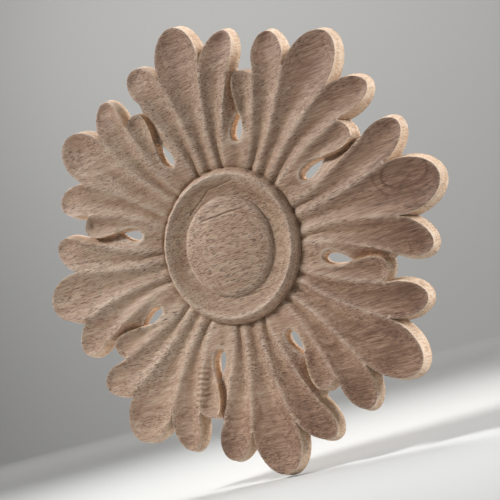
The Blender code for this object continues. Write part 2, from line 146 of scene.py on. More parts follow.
@dataclass(frozen=True)
class Lobe:
    """A lobe of a leaf: an ellipse in the leaf's own plan."""

    centre_x: float
    centre_y: float
    half_length: float
    half_width: float
    turn: float = 0.0

    def grown(self, by: float) -> Lobe:
        """The same lobe, larger all round."""
        return Lobe(self.centre_x, self.centre_y, self.half_length + by, self.half_width + by, self.turn)

    def point(self, degrees: float) -> np.ndarray:
        """Point of the ellipse at an angle counted from its long axis."""
        along = self.half_length * math.cos(math.radians(degrees))
        across = self.half_width * math.sin(math.radians(degrees))
        cosine, sine = math.cos(self.turn), math.sin(self.turn)
        return np.array([
            self.centre_x + along * cosine - across * sine,
            self.centre_y + along * sine + across * cosine,
        ])

    def arc(self, start: float, end: float, count: int) -> np.ndarray:
        """Points along part of the ellipse.

        Args:
            start: Angle of the first point, in degrees.
            end: Angle of the last point, in degrees.
            count: Number of points.

        Returns:
            One row for each point.
        """
        return np.array([self.point(angle) for angle in np.linspace(start, end, count)])

    def steps(self, ends: Pair, step: float) -> np.ndarray:
        """Points about a step apart along part of the ellipse."""
        rough = self.arc(*ends, ROUGH_POINTS)
        length = np.linalg.norm(np.diff(rough, axis=0), axis=1).sum()
        return self.arc(*ends, max(3, int(round(length / step)) + 1))

    def holds(self, points: np.ndarray) -> np.ndarray:
        """Whether each point lies inside the ellipse."""
        x, y = points[:, 0] - self.centre_x, points[:, 1] - self.centre_y
        cosine, sine = math.cos(self.turn), math.sin(self.turn)
        along = (x * cosine + y * sine) / self.half_length
        across = (y * cosine - x * sine) / self.half_width
        return np.hypot(along, across) < 1.0

    def meets(self, other: Lobe, outside: float, within: float) -> float:
        """Angle at which this lobe's edge enters another lobe.

        Args:
            other: The lobe that it enters.
            outside: An angle where the edge is outside the other.
            within: An angle where it is inside.

        Returns:
            The angle between them, in degrees.
        """
        for _ in range(HALVINGS):
            middle = 0.5 * (outside + within)
            if other.holds(self.point(middle)[None, :])[0]:
                within = middle
            else:
                outside = middle
        return outside


@dataclass(frozen=True)
class LeafSizes:
    """Lobes, notches and creases of a leaf, in the leaf's own plan."""

    tip_radius: float = 98.6 * MM
    flare: float = 1.4 * MM
    centre: Lobe = Lobe(82.7 * MM, 0.0, 15.9 * MM, 10.9 * MM)
    middle: Lobe = Lobe(77.9 * MM, 18.7 * MM, 12.1 * MM, 7.3 * MM, math.radians(36.0))
    short: Lobe = Lobe(57.3 * MM, 12.1 * MM, 20.2 * MM, 8.6 * MM, math.radians(61.0))
    centre_arc: Pair = (0.0, 103.0)
    middle_arc: Pair = (-105.0, 101.0)
    short_arc: Pair = (10.7, -44.0)
    wall_arc: Pair = (67.0, 10.7)
    wall_batter: float = 0.4 * MM
    centre_notch: Pair = (78.3 * MM, 10.8 * MM)
    short_notch: Pair = (69.6 * MM, 21.9 * MM)
    ledge_point: Pair = (71.5 * MM, 23.3 * MM)
    ledge_leaves: float = 96.5
    ledge_reaches: float = 2.0
    centre_ridge_foot: float = 3.8 * MM
    middle_valley_foot: float = 6.4 * MM
    side_ridge_foot: float = 8.0 * MM
    ridge_power: float = 2.0
    side_power: float = 1.35
    centre_valley_end: Pair = (86.4 * MM, 0.0)
    middle_valley_end: Pair = (82.5 * MM, 22.8 * MM)
    short_valley_start: Pair = (48.2 * MM, 16.1 * MM)
    short_valley_end: Pair = (65.3 * MM, 25.0 * MM)
    ridge_slope: float = 0.09
    side_slope: float = 2.0


@dataclass(frozen=True)
class RingSizes:
    """The turned middle: a low dome, the groove round it, and the ring with its cove."""

    foot_radius: float = 33.7 * MM
    crest_radius: float = 30.6 * MM
    crest_height: float = 5.9 * MM
    groove_radius: float = 21.75 * MM
    groove_height: float = 3.3 * MM
    shoulder_radius: float = 20.9 * MM
    dome_radius: float = 19.4 * MM
    dome_edge_height: float = 4.91 * MM
    dome_height: float = 7.0 * MM
    cove_power: float = 1.5
    slope_power: float = 1.7
    dome_rows: int = 24
    shoulder_rows: int = 9
    cove_rows: int = 13
    slope_rows: tuple[float, ...] = (0.18, 0.36, 0.54, 0.7, 0.83, 0.93)
    # Pale band on the ring's crest and the dome's shoulder: rubbed wear, and a painted highlight
    edge_wear_and_highlight: float = 1.1 * MM
    crest_rubbed_highlight: float = 0.9
    shoulder_rubbed_highlight: float = 0.5


@dataclass(frozen=True)
class EyeSizes:
    """The opening between two leaves, along the ray that parts them."""

    start: float = 43.4 * MM
    half_width: float = 3.9 * MM
    shift: float = 0.5 * MM
    spread: float = 1.7
    valley_share: float = 0.45
    tip_gap: float = 0.2 * MM
    length: float = 18.0 * MM
    point_spacing: float = 0.7
    flare: float = 1.95 * MM
    lip_depth: float = 0.2
    lip_inset: float = 0.7
    lip_angles: tuple[float, ...] = (22.0, 45.0, 68.0, 90.0)
    lip_sawn: Pair = (0.3, 1.3)
    # How pale the lip rows are painted: rubbed wear, and a painted highlight that is strongest on the
    # back lip, which lies in shade
    lip_rubbed_highlight: float = 0.7
    back_lip_depth: float = 0.78
    back_lip_inset: float = 0.78
    back_rubbed_highlight: Pair = (1.6, 1.8)

    def wall(self) -> list[tuple[float, float, float, float]]:
        """The wall's section: rounded in at the front, straight, and splayed again at the back.

        Returns:
            Shares of the depth and of the inset, how much each row is worn and painted pale as a
            highlight, and how sawn it is.
        """
        rows = []
        for angle in np.radians(self.lip_angles):
            depth, inset = self.lip_depth * (1.0 - math.cos(angle)), self.lip_inset * math.sin(angle)
            sawn = float(smooth_step(angle, *self.lip_sawn))
            rows.append((depth, inset, self.lip_rubbed_highlight * (1.0 - sawn), sawn))
        for share in (0.5, 1.0):
            depth = self.lip_depth + (self.back_lip_depth - self.lip_depth) * share
            inset = self.lip_inset + (self.back_lip_inset - self.lip_inset) * share
            rows.append((depth, inset, 0.0, 1.0))
        depth, inset = 0.5 * (self.back_lip_depth + 1.0), 0.5 * (self.back_lip_inset + 1.0)
        halfway, end = self.back_rubbed_highlight
        return rows + [(depth, inset, halfway, 1.0), (1.0, 1.0, end, 1.0)]


@dataclass(frozen=True)
class CarvingDepths:
    """Heights of the crests, and depths of the scoops below them at the ring and at the lobe."""

    notch_height: float = 7.4 * MM
    foot_crest_height: float = 3.0 * MM
    crest_power: float = 1.6
    centre: Pair = (1.25 * MM, 2.35 * MM)
    middle: Pair = (1.25 * MM, 1.95 * MM)
    short: Pair = (0.4 * MM, 1.55 * MM)
    apron: Pair = (0.4 * MM, 3.7 * MM)
    scoop_span: Pair = (35.0 * MM, 73.0 * MM)
    short_span: Pair = (43.0 * MM, 57.0 * MM)
    apron_span: Pair = (42.0 * MM, 60.0 * MM)
    wall_split: float = 0.3
    sink_radius: float = 79.0 * MM
    centre_sink: Pair = (1.4 * MM, 98.6 * MM)
    middle_sink: Pair = (2.4 * MM, 91.4 * MM)
    sink_power: float = 1.5
    crest_softness: float = 0.35 * MM
    crest_lift: float = 0.35
    valley_narrowing: float = 0.8
    rim_rounding: float = 0.4 * MM
    foot_groove: float = 0.5 * MM
    foot_groove_width: float = 0.9 * MM
    # Pale band along the free edges and the ridges: rubbed wear, and a painted highlight on the arrises
    edge_wear_and_highlight: float = 0.45 * MM
    ridge_wear_and_highlight: float = 0.9 * MM
    ridge_rubbed_highlight: float = 0.75
    # Darker colour in the valleys and at the walls' feet: painted shade, with dust
    valley_shade_reach: float = 1.8 * MM
    wall_shade_reach: float = 0.7 * MM
    valley_shade_ends: Pair = (62.0 * MM, 84.0 * MM)


class EighthPlan:
    """The lines of the carving on one eighth, with a point at every step along them."""

    def __init__(self, leaf: LeafSizes, ring: RingSizes, eye: EyeSizes, step: float) -> None:
        """Draws the lines.

        Args:
            leaf: Sizes of a leaf.
            ring: Sizes of the turned middle.
            eye: Sizes of the opening between leaves.
            step: Distance between points.
        """
        self.leaf, self.ring, self.eye_sizes, self.step = leaf, ring, eye, step
        ridge = self.flute(leaf.centre_ridge_foot, leaf.centre_notch, leaf.ridge_power)
        valley = self.flute(leaf.middle_valley_foot, leaf.middle_valley_end, leaf.ridge_power)
        middle = straight((ring.foot_radius, 0.0), leaf.centre_valley_end, step)
        self.centre_arc = leaf.centre.steps(leaf.centre_arc, step)
        self.middle_arc = leaf.middle.steps(leaf.middle_arc, step)
        tail = straight(leaf.centre_valley_end, (leaf.tip_radius, 0.0), step)[1:]
        side_three = self.flute(leaf.side_ridge_foot, leaf.ledge_point, leaf.side_power)
        side_five = self.flute(leaf.side_ridge_foot, leaf.short_notch, leaf.side_power)
        own = {"centre": middle, "tail": tail, "ridge": ridge, "valley": valley}
        self.own = {
            LeafKind.THREE_LOBES: {**own, "side": side_three},
            LeafKind.FIVE_LOBES: {**own, "side": side_five},
        }
        self.short_arc = turned_over(leaf.short.steps(leaf.short_arc, step))
        self.wall_top = turned_over(leaf.short.steps(leaf.wall_arc, step))
        wall_base = leaf.short.grown(leaf.wall_batter).arc(*leaf.wall_arc, len(self.wall_top))
        self.wall_base = turned_over(wall_base)
        self.short_valley = turned_over(straight(leaf.short_valley_start, leaf.short_valley_end, step))
        self.eye_five, self.eye_three = self.eye_sides(eye.start, eye.half_width, self.wall_top[0])
        self.eye_three[-1] = self.wall_base[0]
        ray_start = ring.foot_radius * np.array([math.cos(RAY), math.sin(RAY)])
        self.web = straight(ray_start, self.eye_five[0], step)

    def flute(self, foot: float, end: Pair, power: float) -> np.ndarray:
        """Line from the foot of the ring that bends outwards.

        Args:
            foot: How far to the side of the leaf's middle line it starts.
            end: Where it ends.
            power: How late it bends.

        Returns:
            One row for each point.
        """
        start_x = math.sqrt(self.ring.foot_radius**2 - foot**2)
        count = max(2, int(round((end[0] - start_x) / self.step)) + 1)
        share = np.linspace(0.0, 1.0, count)
        return np.column_stack([
            start_x + (end[0] - start_x) * share,
            foot + (end[1] - foot) * share**power,
        ])

    def eye_sides(
        self,
        start: float,
        half_width: float,
        end: np.ndarray,
    ) -> tuple[np.ndarray, np.ndarray]:
        """The two sides of the eye, round at the ring's end and pointed at the outer end.

        Args:
            start: Radius at which the eye begins.
            half_width: Half its greatest width.
            end: Its pointed end.

        Returns:
            The side on the five-lobe leaf and the side on the three-lobe leaf, both outwards.
        """
        along = np.array([math.cos(RAY), math.sin(RAY)])
        across = np.array([math.sin(RAY), -math.cos(RAY)])
        eye = self.eye_sizes
        begin = along * start + across * eye.shift
        count = max(8, int(round(eye.length / (eye.point_spacing * self.step))) + 1)
        share = np.linspace(0.0, 1.0, count) ** eye.spread
        middle = begin + (end - begin) * share[:, None]
        # This curve is fullest, with a width of one, a third of the way along
        fullness = 1.5 * math.sqrt(3.0) * np.sqrt(share) * (1.0 - share)
        bulge = half_width * fullness[:, None] * across
        return middle - bulge, middle + bulge

    def outline(self) -> np.ndarray:
        """The free edge of the front, from the three-lobe leaf's tip to the five-lobe leaf's tip."""
        notch = np.array([self.leaf.centre_notch])
        return np.vstack([
            self.centre_arc,
            notch,
            self.middle_arc[:-1],
            np.array([self.leaf.ledge_point]),
            self.wall_base[-1:],
            self.short_arc[:-1],
            turned_over(np.array([self.leaf.short_notch])),
            turned_over(self.middle_arc[::-1]),
            turned_over(notch),
            turned_over(self.centre_arc[::-1]),
        ])

    def back_outline(self) -> np.ndarray:
        """The edge of the back, below the free edge of the front, with as many points."""
        leaf = self.leaf
        lobes = (leaf.centre, leaf.middle, leaf.short)
        centre, middle, short = (lobe.grown(leaf.flare) for lobe in lobes)
        # Each lobe's tip, at 0 degrees, is outside its neighbour, and the other angle is well inside
        centre_end = centre.meets(middle, 0.0, 110.0)
        middle_start = middle.meets(centre, 0.0, -110.0)
        middle_end = middle.meets(short, 0.0, 140.0)
        short_end = short.meets(middle, 0.0, -60.0)
        centres, middles, shorts = len(self.centre_arc), len(self.middle_arc), len(self.short_arc)
        return np.vstack([
            centre.arc(0.0, centre_end, centres + 1),
            middle.arc(middle_start, leaf.ledge_leaves, middles + 1)[1:],
            turned_over(short.arc(leaf.ledge_reaches, short_end, shorts + 1)),
            turned_over(middle.arc(middle_end, middle_start, middles + 2)[1:]),
            turned_over(centre.arc(centre_end, 0.0, centres + 1)[1:]),
        ])

    def eye(self) -> np.ndarray:
        """The edge of the eye on the front, as a closed run of points."""
        return np.vstack([self.eye_five, self.eye_three[::-1][:-1]])

    def back_eye(self) -> np.ndarray:
        """The edge of the eye on the back, with as many points."""
        tip, eye = self.wall_top[0], self.eye_sizes
        end = tip * (1.0 - eye.flare / np.linalg.norm(tip))
        five, three = self.eye_sides(eye.start + eye.flare, eye.half_width - eye.flare, end)
        three[-1] = end + eye.tip_gap * np.array([math.sin(RAY), -math.cos(RAY)])
        return np.vstack([five, three[::-1][:-1]])

    def foot(self) -> np.ndarray:
        """Points along the foot of the ring, between the two middle lines."""
        names = ("centre", "ridge", "valley", "side")
        three = [self.own[LeafKind.THREE_LOBES][name][0] for name in names]
        five = [self.own[LeafKind.FIVE_LOBES][name][0] for name in names[::-1]]
        starts = three + [self.web[0]] + list(turned_over(np.array(five)))
        angles = [math.atan2(y, x) for x, y in starts]
        row = []
        for first, last in zip(angles, angles[1:]):
            count = max(1, int(round((last - first) * self.ring.foot_radius / self.step)))
            row += list(np.linspace(first, last, count, endpoint=False))
        row.append(angles[-1])
        return self.ring.foot_radius * np.column_stack([np.cos(row), np.sin(row)])

    def creases(self) -> list[np.ndarray]:
        """The lines inside the plan."""
        names = ("centre", "tail", "ridge", "valley", "side")
        three = [self.own[LeafKind.THREE_LOBES][name] for name in names]
        five = [turned_over(self.own[LeafKind.FIVE_LOBES][name]) for name in names]
        return three + five + [self.wall_top, self.wall_base, self.short_valley, self.web]

    def boundary(self) -> np.ndarray:
        """The whole edge of the eighth's plan outside the ring, counterclockwise."""
        own = self.own[LeafKind.THREE_LOBES]
        return np.vstack([
            own["centre"],
            own["tail"][:-1],
            self.outline()[:-1],
            turned_over(own["tail"])[::-1],
            turned_over(own["centre"])[::-1],
            self.foot()[::-1][1:-1],
        ])


class Carving:
    """Heights of the carved front above the back, on the eighth's plan."""

    def __init__(self, plan: EighthPlan, depths: CarvingDepths) -> None:
        """Keeps the lines and the depths that the gouges follow."""
        self.plan, self.depths = plan, depths

    def crest(self, radius: np.ndarray) -> np.ndarray:
        """Height of the crests at a radius: up from the ring to the notches, then level."""
        depths, foot = self.depths, self.plan.ring.foot_radius
        notch = self.plan.leaf.centre_notch[0]
        fall = np.clip((notch - radius) / (notch - foot), 0.0, 1.0)
        rise = depths.notch_height - depths.foot_crest_height
        return depths.notch_height - rise * fall**depths.crest_power

    def sink(self, points: np.ndarray, amount: float, reach: float) -> np.ndarray:
        """How far the rim of a lobe lies below the notches.

        Args:
            points: Places on the plan.
            amount: How low it is at the radius reach.
            reach: That radius.

        Returns:
            The depth at each point.
        """
        start = self.depths.sink_radius
        out = np.clip((np.hypot(*points.T) - start) / (reach - start), 0.0, None)
        return amount * out**self.depths.sink_power

    def scoop(
        self,
        points: np.ndarray,
        valley: np.ndarray,
        rim: np.ndarray,
        depths: Pair,
        span: Pair,
    ) -> np.ndarray:
        """Depth of a scoop, full along its valley and nothing along its rim.

        Args:
            points: Places on the leaf's own plan.
            valley: The line that is deepest.
            rim: The line round the scoop.
            depths: Depth near the ring and depth near the lobe.
            span: Distances from the centre between which it deepens.

        Returns:
            The depth at each point.
        """
        soft = self.depths.crest_softness
        from_valley = line_distance(points, valley)
        from_rim = np.hypot(line_distance(points, rim), soft) - self.depths.crest_lift * soft
        share = from_valley / np.maximum(from_valley + from_rim, TINY)
        rolled = 0.5 + 0.5 * np.cos(math.pi * share**self.depths.valley_narrowing)
        gouged = 1.0 - share * share
        along = points[:, 0]
        sharp = smooth_step(along, *self.depths.scoop_span)
        depth = depths[0] + (depths[1] - depths[0]) * smooth_step(along, *span)
        return depth * (rolled * (1.0 - sharp) + gouged * sharp)

    def leaf_depth(self, kind: LeafKind, points: np.ndarray, edge: np.ndarray) -> np.ndarray:
        """Depth below the crests on one leaf, in the leaf's own plan.

        Args:
            kind: Which kind of leaf it is.
            points: Places on its plan.
            edge: Depth beyond its side ridge.

        Returns:
            The depth at each point.
        """
        lines, leaf, depths = self.plan.own[kind], self.plan.leaf, self.depths
        along, across = points[:, 0], points[:, 1]
        centre_rim = np.vstack([lines["ridge"], self.plan.centre_arc[::-1]])
        middle_rim = np.vstack([lines["ridge"], self.plan.middle_arc, lines["side"][::-1]])
        centre = self.scoop(points, lines["centre"], centre_rim, depths.centre, depths.scoop_span)
        middle = self.scoop(points, lines["valley"], middle_rim, depths.middle, depths.scoop_span)
        centre = centre + self.sink(points, *depths.centre_sink)
        middle = middle + self.sink(points, *depths.middle_sink)
        past_ridge = across > self.beside(along, lines["ridge"], leaf.ridge_slope)
        past_side = across > self.beside(along, lines["side"], leaf.side_slope)
        return np.where(past_side, edge, np.where(past_ridge, middle, centre))

    @staticmethod
    def beside(along: np.ndarray, ridge: np.ndarray, slope: float) -> np.ndarray:
        """How far to the side a ridge lies, carried on with a slope past its end."""
        end = ridge[-1]
        inner = np.interp(along, ridge[:, 0], ridge[:, 1])
        return np.where(along < end[0], inner, end[1] + slope * (along - end[0]))

    def on_five(self, points: np.ndarray) -> np.ndarray:
        """Whether each point lies on the five-lobe leaf."""
        plan = self.plan
        past_ray = np.arctan2(points[:, 1], points[:, 0]) > RAY
        wall_line = plan.leaf.short.grown(self.depths.wall_split * plan.leaf.wall_batter)
        beyond_eye = np.hypot(*points.T) > np.linalg.norm(plan.wall_top[0]) - plan.eye_sizes.tip_gap
        return past_ray | (beyond_eye & wall_line.holds(turned_over(points)))

    def heights(self, points: np.ndarray) -> np.ndarray:
        """Height above the back of each point of the eighth's plan, outside the ring."""
        plan, depths = self.plan, self.depths
        three_side = plan.own[LeafKind.THREE_LOBES]["side"]
        apron = np.vstack([plan.web, plan.eye_three[1:], plan.wall_base[1:]])
        apron_depth = self.scoop(points, apron, three_side, depths.apron, depths.apron_span)
        three_depth = self.leaf_depth(LeafKind.THREE_LOBES, points, apron_depth)

        own = turned_over(points)
        beside_eye = plan.eye_five[: int(plan.eye_sizes.valley_share * len(plan.eye_five))]
        valley = turned_over(np.vstack([plan.web, beside_eye[1:], plan.short_valley]))
        short_rim = turned_over(np.vstack([plan.short_arc[::-1], plan.wall_top[::-1]]))
        rim = np.vstack([plan.own[LeafKind.FIVE_LOBES]["side"], short_rim])
        short_depth = self.scoop(own, valley, rim, depths.short, depths.short_span)
        five_depth = self.leaf_depth(LeafKind.FIVE_LOBES, own, short_depth)

        depth = np.where(self.on_five(points), five_depth, three_depth)
        radius = np.hypot(*points.T)
        height = self.crest(radius) - depth
        height -= self.rounded_rim(points)
        off_foot = np.clip((radius - plan.ring.foot_radius) / depths.foot_groove_width, 0.0, 1.0)
        return height - depths.foot_groove * (1.0 - off_foot) ** 2

    def edge_distance(self, points: np.ndarray) -> np.ndarray:
        """Distance of each point from the free edges."""
        eye = self.plan.eye()
        from_outline = line_distance(points, self.plan.outline())
        return np.minimum(from_outline, line_distance(points, np.vstack([eye, eye[:1]])))

    def wear_and_highlight(self, points: np.ndarray) -> np.ndarray:
        """How much each point is rubbed and painted pale as a highlight: 1 on edges and ridges, 0 a
        little way off.
        """
        from_edge = self.edge_distance(points) / self.depths.edge_wear_and_highlight
        ridges = [self.plan.wall_top]
        for name in ("ridge", "side"):
            ridges.append(self.plan.own[LeafKind.THREE_LOBES][name])
            ridges.append(turned_over(self.plan.own[LeafKind.FIVE_LOBES][name]))
        from_ridge = np.min([line_distance(points, line) for line in ridges], axis=0)
        on_ridge = self.depths.ridge_rubbed_highlight * np.exp(-(from_ridge / self.depths.ridge_wear_and_highlight) ** 2)
        return np.maximum(on_ridge, np.exp(-from_edge))

    def dust_and_painted_shade(self, points: np.ndarray) -> np.ndarray:
        """How much dust and painted shade each point gets: 1 in the valleys and at the walls' feet."""
        plan = self.plan
        valleys = [plan.short_valley, plan.web, plan.wall_base]
        for name in ("centre", "valley"):
            valleys.append(plan.own[LeafKind.THREE_LOBES][name])
            valleys.append(turned_over(plan.own[LeafKind.FIVE_LOBES][name]))
        from_valley = np.min([line_distance(points, line) for line in valleys], axis=0)
        radius = np.hypot(*points.T)
        inner = 1.0 - smooth_step(radius, *self.depths.valley_shade_ends)
        at_wall = np.exp(-line_distance(points, plan.wall_base) / self.depths.wall_shade_reach)
        return np.maximum(inner * np.exp(-(from_valley / self.depths.valley_shade_reach) ** 2), at_wall)

    def rounded_rim(self, points: np.ndarray) -> np.ndarray:
        """How far the worn arris along the outline lies below a sharp one."""
        from_edge = line_distance(points, self.plan.outline())
        rounding = self.depths.rim_rounding
        inset = np.clip(rounding - from_edge, 0.0, rounding)
        return rounding - np.sqrt(rounding**2 - inset**2)


class PointSet:
    """Points of a plan and the edges between them, each point once."""

    def __init__(self) -> None:
        """Starts with nothing."""
        self.points: list[Pair] = []
        self.edges: set[tuple[int, int]] = set()
        self.index: dict[tuple[int, int], int] = {}

    def add(self, point: np.ndarray) -> int:
        """Index of a point, which is added if it is new."""
        key = (round(point[0] / SAME_PLACE), round(point[1] / SAME_PLACE))
        if key not in self.index:
            self.index[key] = len(self.points)
            self.points.append((float(point[0]), float(point[1])))
        return self.index[key]

    def add_line(self, line: np.ndarray, closed: bool = False) -> None:
        """Adds a run of points with the edges along it."""
        ids = [self.add(point) for point in line]
        pairs = list(zip(ids, ids[1:]))
        if closed:
            pairs.append((ids[-1], ids[0]))
        self.edges |= {pair for pair in pairs if pair[0] != pair[1]}

    def triangles(self, boundary: np.ndarray, hole: np.ndarray) -> tuple[np.ndarray, np.ndarray]:
        """Triangles between a boundary and a hole.

        Args:
            boundary: The outer polygon.
            hole: The inner polygon.

        Returns:
            The points, and three of their indices for each triangle.
        """
        done = delaunay_2d_cdt(self.points, sorted(self.edges), [], 0, TINY)
        points = np.array([tuple(point) for point in done[0]])
        faces = np.array([tuple(face) for face in done[2]])
        centres = points[faces].mean(axis=1)
        return points, faces[inside(centres, boundary) & ~inside(centres, hole)]


@dataclass(frozen=True)
class Scratch:
    """A shallow line that a tool left on the front, straight or bowed, with a burr to its left."""

    start: Pair
    end: Pair
    bow: float = 0.0
    depth: float = 0.16 * MM
    half_width: float = 0.3 * MM
    burr: float = 0.0
    burr_aside: float = 1.8
    reach: float = 3.0
    margin: float = 0.7 * MM
    points: int = 17

    def line(self, aside: float = 0.0) -> np.ndarray:
        """Points along it, or along a line to its left."""
        start, end = np.array(self.start), np.array(self.end)
        share = np.linspace(0.0, 1.0, self.points)[:, None]
        run = end - start
        left = np.array([-run[1], run[0]]) / np.linalg.norm(run)
        return start + run * share + left * (self.bow * 4.0 * share * (1.0 - share) + aside)

    def reaches(self, points: np.ndarray) -> np.ndarray:
        """Whether each point is so near that the mesh has to be finer there."""
        return line_distance(points, self.line()) < self.reach * self.half_width + self.margin

    def lowering(self, points: np.ndarray) -> np.ndarray:
        """How far it lowers each point, less than nothing on the burr."""
        groove = np.exp(-((line_distance(points, self.line()) / self.half_width) ** 2))
        aside = line_distance(points, self.line(self.burr_aside * self.half_width))
        return self.depth * groove - self.burr * np.exp(-((aside / self.half_width) ** 2))


@dataclass(frozen=True)
class ChatterMarks:
    """Ribs that a skipping gouge left across a scoop, strongest at their left ends."""

    corner: Pair = (-30.4 * MM, -45.2 * MM)
    turn: float = math.radians(-13.7)
    drift: float = 0.069
    length: float = 20.0 * MM
    width: float = 7.6 * MM
    spacing: float = 2.34 * MM
    depth: float = 0.42 * MM
    margin: float = MM
    rib_starts: Pair = (0.03, 0.2)
    rib_fades: Pair = (0.7, 1.1)
    first_rib: Pair = (-0.2, 0.5)

    def down_and_along(self, points: np.ndarray) -> tuple[np.ndarray, np.ndarray]:
        """Distance of each point down from the first rib, and along the ribs."""
        x, y = (points - np.array(self.corner)).T
        cosine, sine = math.cos(self.turn), math.sin(self.turn)
        down = x * sine - y * cosine
        return down, x * cosine + y * sine + self.drift * down

    def reaches(self, points: np.ndarray) -> np.ndarray:
        """Whether each point is so near that the mesh has to be finer there."""
        down, along = self.down_and_along(points)
        in_length = (down > -self.margin) & (down < self.length + self.margin)
        return in_length & (along > -self.margin) & (along < self.width + self.margin)

    def lowering(self, points: np.ndarray) -> np.ndarray:
        """How far the ribs lower each point."""
        down, along = self.down_and_along(points)
        ripple = 0.5 - 0.5 * np.cos(2.0 * math.pi * down / self.spacing)
        across = smooth_step(along / self.width, *self.rib_starts)
        across *= 1.0 - smooth_step(along / self.width, *self.rib_fades)
        ends = smooth_step(down / self.spacing, *self.first_rib)
        ends *= 1.0 - smooth_step(down, self.length - self.spacing, self.length)
        return self.depth * ripple * across * ends


@dataclass
class Rosette:
    """The carved rosette, one piece of wood."""

    leaf: LeafSizes = field(default_factory=LeafSizes)
    ring: RingSizes = field(default_factory=RingSizes)
    eye: EyeSizes = field(default_factory=EyeSizes)
    depths: CarvingDepths = field(default_factory=CarvingDepths)
    marks: tuple[Scratch | ChatterMarks, ...] = (
        ChatterMarks(),
        Scratch(
            start=(-9.1 * MM, 13.6 * MM),
            end=(11.5 * MM, 13.5 * MM),
            depth=0.3 * MM,
            half_width=0.4 * MM,
            burr=0.2 * MM,
        ),
        Scratch(
            start=(7.8 * MM, 12.9 * MM),
            end=(20.1 * MM, 5.5 * MM),
            bow=0.8 * MM,
            depth=0.3 * MM,
            half_width=0.35 * MM,
        ),
        Scratch((-1.1 * MM, -22.5 * MM), (14.1 * MM, -22.3 * MM), depth=0.26 * MM),
        Scratch((-2.5 * MM, 26.0 * MM), (10.1 * MM, 26.3 * MM), depth=0.26 * MM),
        Scratch((-14.4 * MM, 18.4 * MM), (-3.8 * MM, 25.0 * MM), depth=0.26 * MM),
    )
    # The hollows of the tool marks also get the darker painted shade
    mark_dust_and_shade: float = 3.5 / MM
    # Wall values above 1 paint a bright orange bounce light on the inner walls, which lie in shade
    inner_wall_top_bounce: float = 1.8
    inner_wall_bounce: float = 2.0
    eye_wall_bounce: float = 1.6
    patch_size: float = 11.0 * MM
    patch_depth: float = 0.22 * MM
    dimple_ratio: float = 3.1
    dimple_depth: float = 0.08 * MM
    dimple_shift: Triple = (5.0, 0.0, 0.0)
    step: float = 0.95 * MM
    crease_gap: float = 0.25
    fill_gap: float = 0.6
    rim_shares: Triple = (0.2, 0.55, 1.1)
    rim_gap: float = 0.15
    wall_rows: int = 4
    smooth_angle: float = math.radians(42.0)
    node: str = "rosette"

    def build(self) -> bpy.types.Object:
        """Carves the whole rosette.

        Returns:
            The finished piece, at the origin.
        """
        mesh = bpy.data.meshes.new("carved_rosette")
        piece = bpy.data.objects.new("carved_rosette", mesh)
        bpy.context.scene.collection.objects.link(piece)
        plan = EighthPlan(self.leaf, self.ring, self.eye, self.step)
        carving = Carving(plan, self.depths)
        self.carve_eighth(mesh, plan, carving)
        self.mirror_round(piece)
        self.cut_marks(mesh, carving)
        self.uneven_surface(piece)
        bpy.ops.object.select_all(action="DESELECT")
        piece.select_set(True)
        bpy.context.view_layer.objects.active = piece
        bpy.ops.object.shade_smooth_by_angle(angle=self.smooth_angle)
        return piece

    def carve_eighth(self, mesh: bpy.types.Mesh, plan: EighthPlan, carving: Carving) -> None:
        """Fills a mesh with one eighth: front, walls and back, open where it is mirrored.

        Args:
            mesh: The empty mesh.
            plan: The lines of the carving.
            carving: The heights of the front.
        """
        points, faces = self.fine_plan(plan)
        heights = carving.heights(points)
        bm = bmesh.new()
        wall, worn_and_highlit, dust_and_shade = (bm.verts.layers.float.new(name) for name in ("wall", "worn_and_highlit", "dust_and_shade"))
        front = [bm.verts.new((x, y, height)) for (x, y), height in zip(points, heights)]
        for vertex, wear_and_highlight, dust_and_painted_shade in zip(front, carving.wear_and_highlight(points), carving.dust_and_painted_shade(points)):
            vertex[worn_and_highlit] = wear_and_highlight
            vertex[dust_and_shade] = dust_and_painted_shade
        for face in faces:
            bm.faces.new([front[corner] for corner in face])
        self.turn_middle(bm, self.vertices_at(front, plan.foot()))
        self.close_back(bm, front, plan)
        # Inner walls get values above 1, which paint bounce light on them
        for line, share in (
            (plan.wall_top, self.inner_wall_top_bounce),
            (plan.wall_base, self.inner_wall_bounce),
            (plan.outline(), 1.0),
        ):
            for vertex in self.vertices_at(front, line):
                vertex[wall] = share
        bmesh.ops.recalc_face_normals(bm, faces=bm.faces)
        for vertex in bm.verts:
            x, y, height = vertex.co
            vertex.co = (x, -height, y)
        bm.to_mesh(mesh)
        bm.free()

    def fine_plan(self, plan: EighthPlan) -> tuple[np.ndarray, np.ndarray]:
        """Triangles over the plan outside the ring.

        Args:
            plan: The lines that the triangles follow.

        Returns:
            The points, and three of their indices for each triangle.
        """
        boundary, eye = plan.boundary(), plan.eye()
        point_set = PointSet()
        point_set.add_line(boundary, closed=True)
        point_set.add_line(eye, closed=True)
        for line in plan.creases():
            point_set.add_line(line)
        edges = [plan.outline(), np.vstack([eye, eye[:1]])]
        near = self.rim_rows(edges)
        near = near[inside(near, boundary) & ~inside(near, eye)]
        for line in plan.creases():
            near = near[line_distance(near, line) > self.crease_gap * self.step]
        for point in near:
            point_set.add(point)
        for point in self.fill(plan, boundary, eye, edges):
            point_set.add(point)
        return point_set.triangles(boundary, eye)

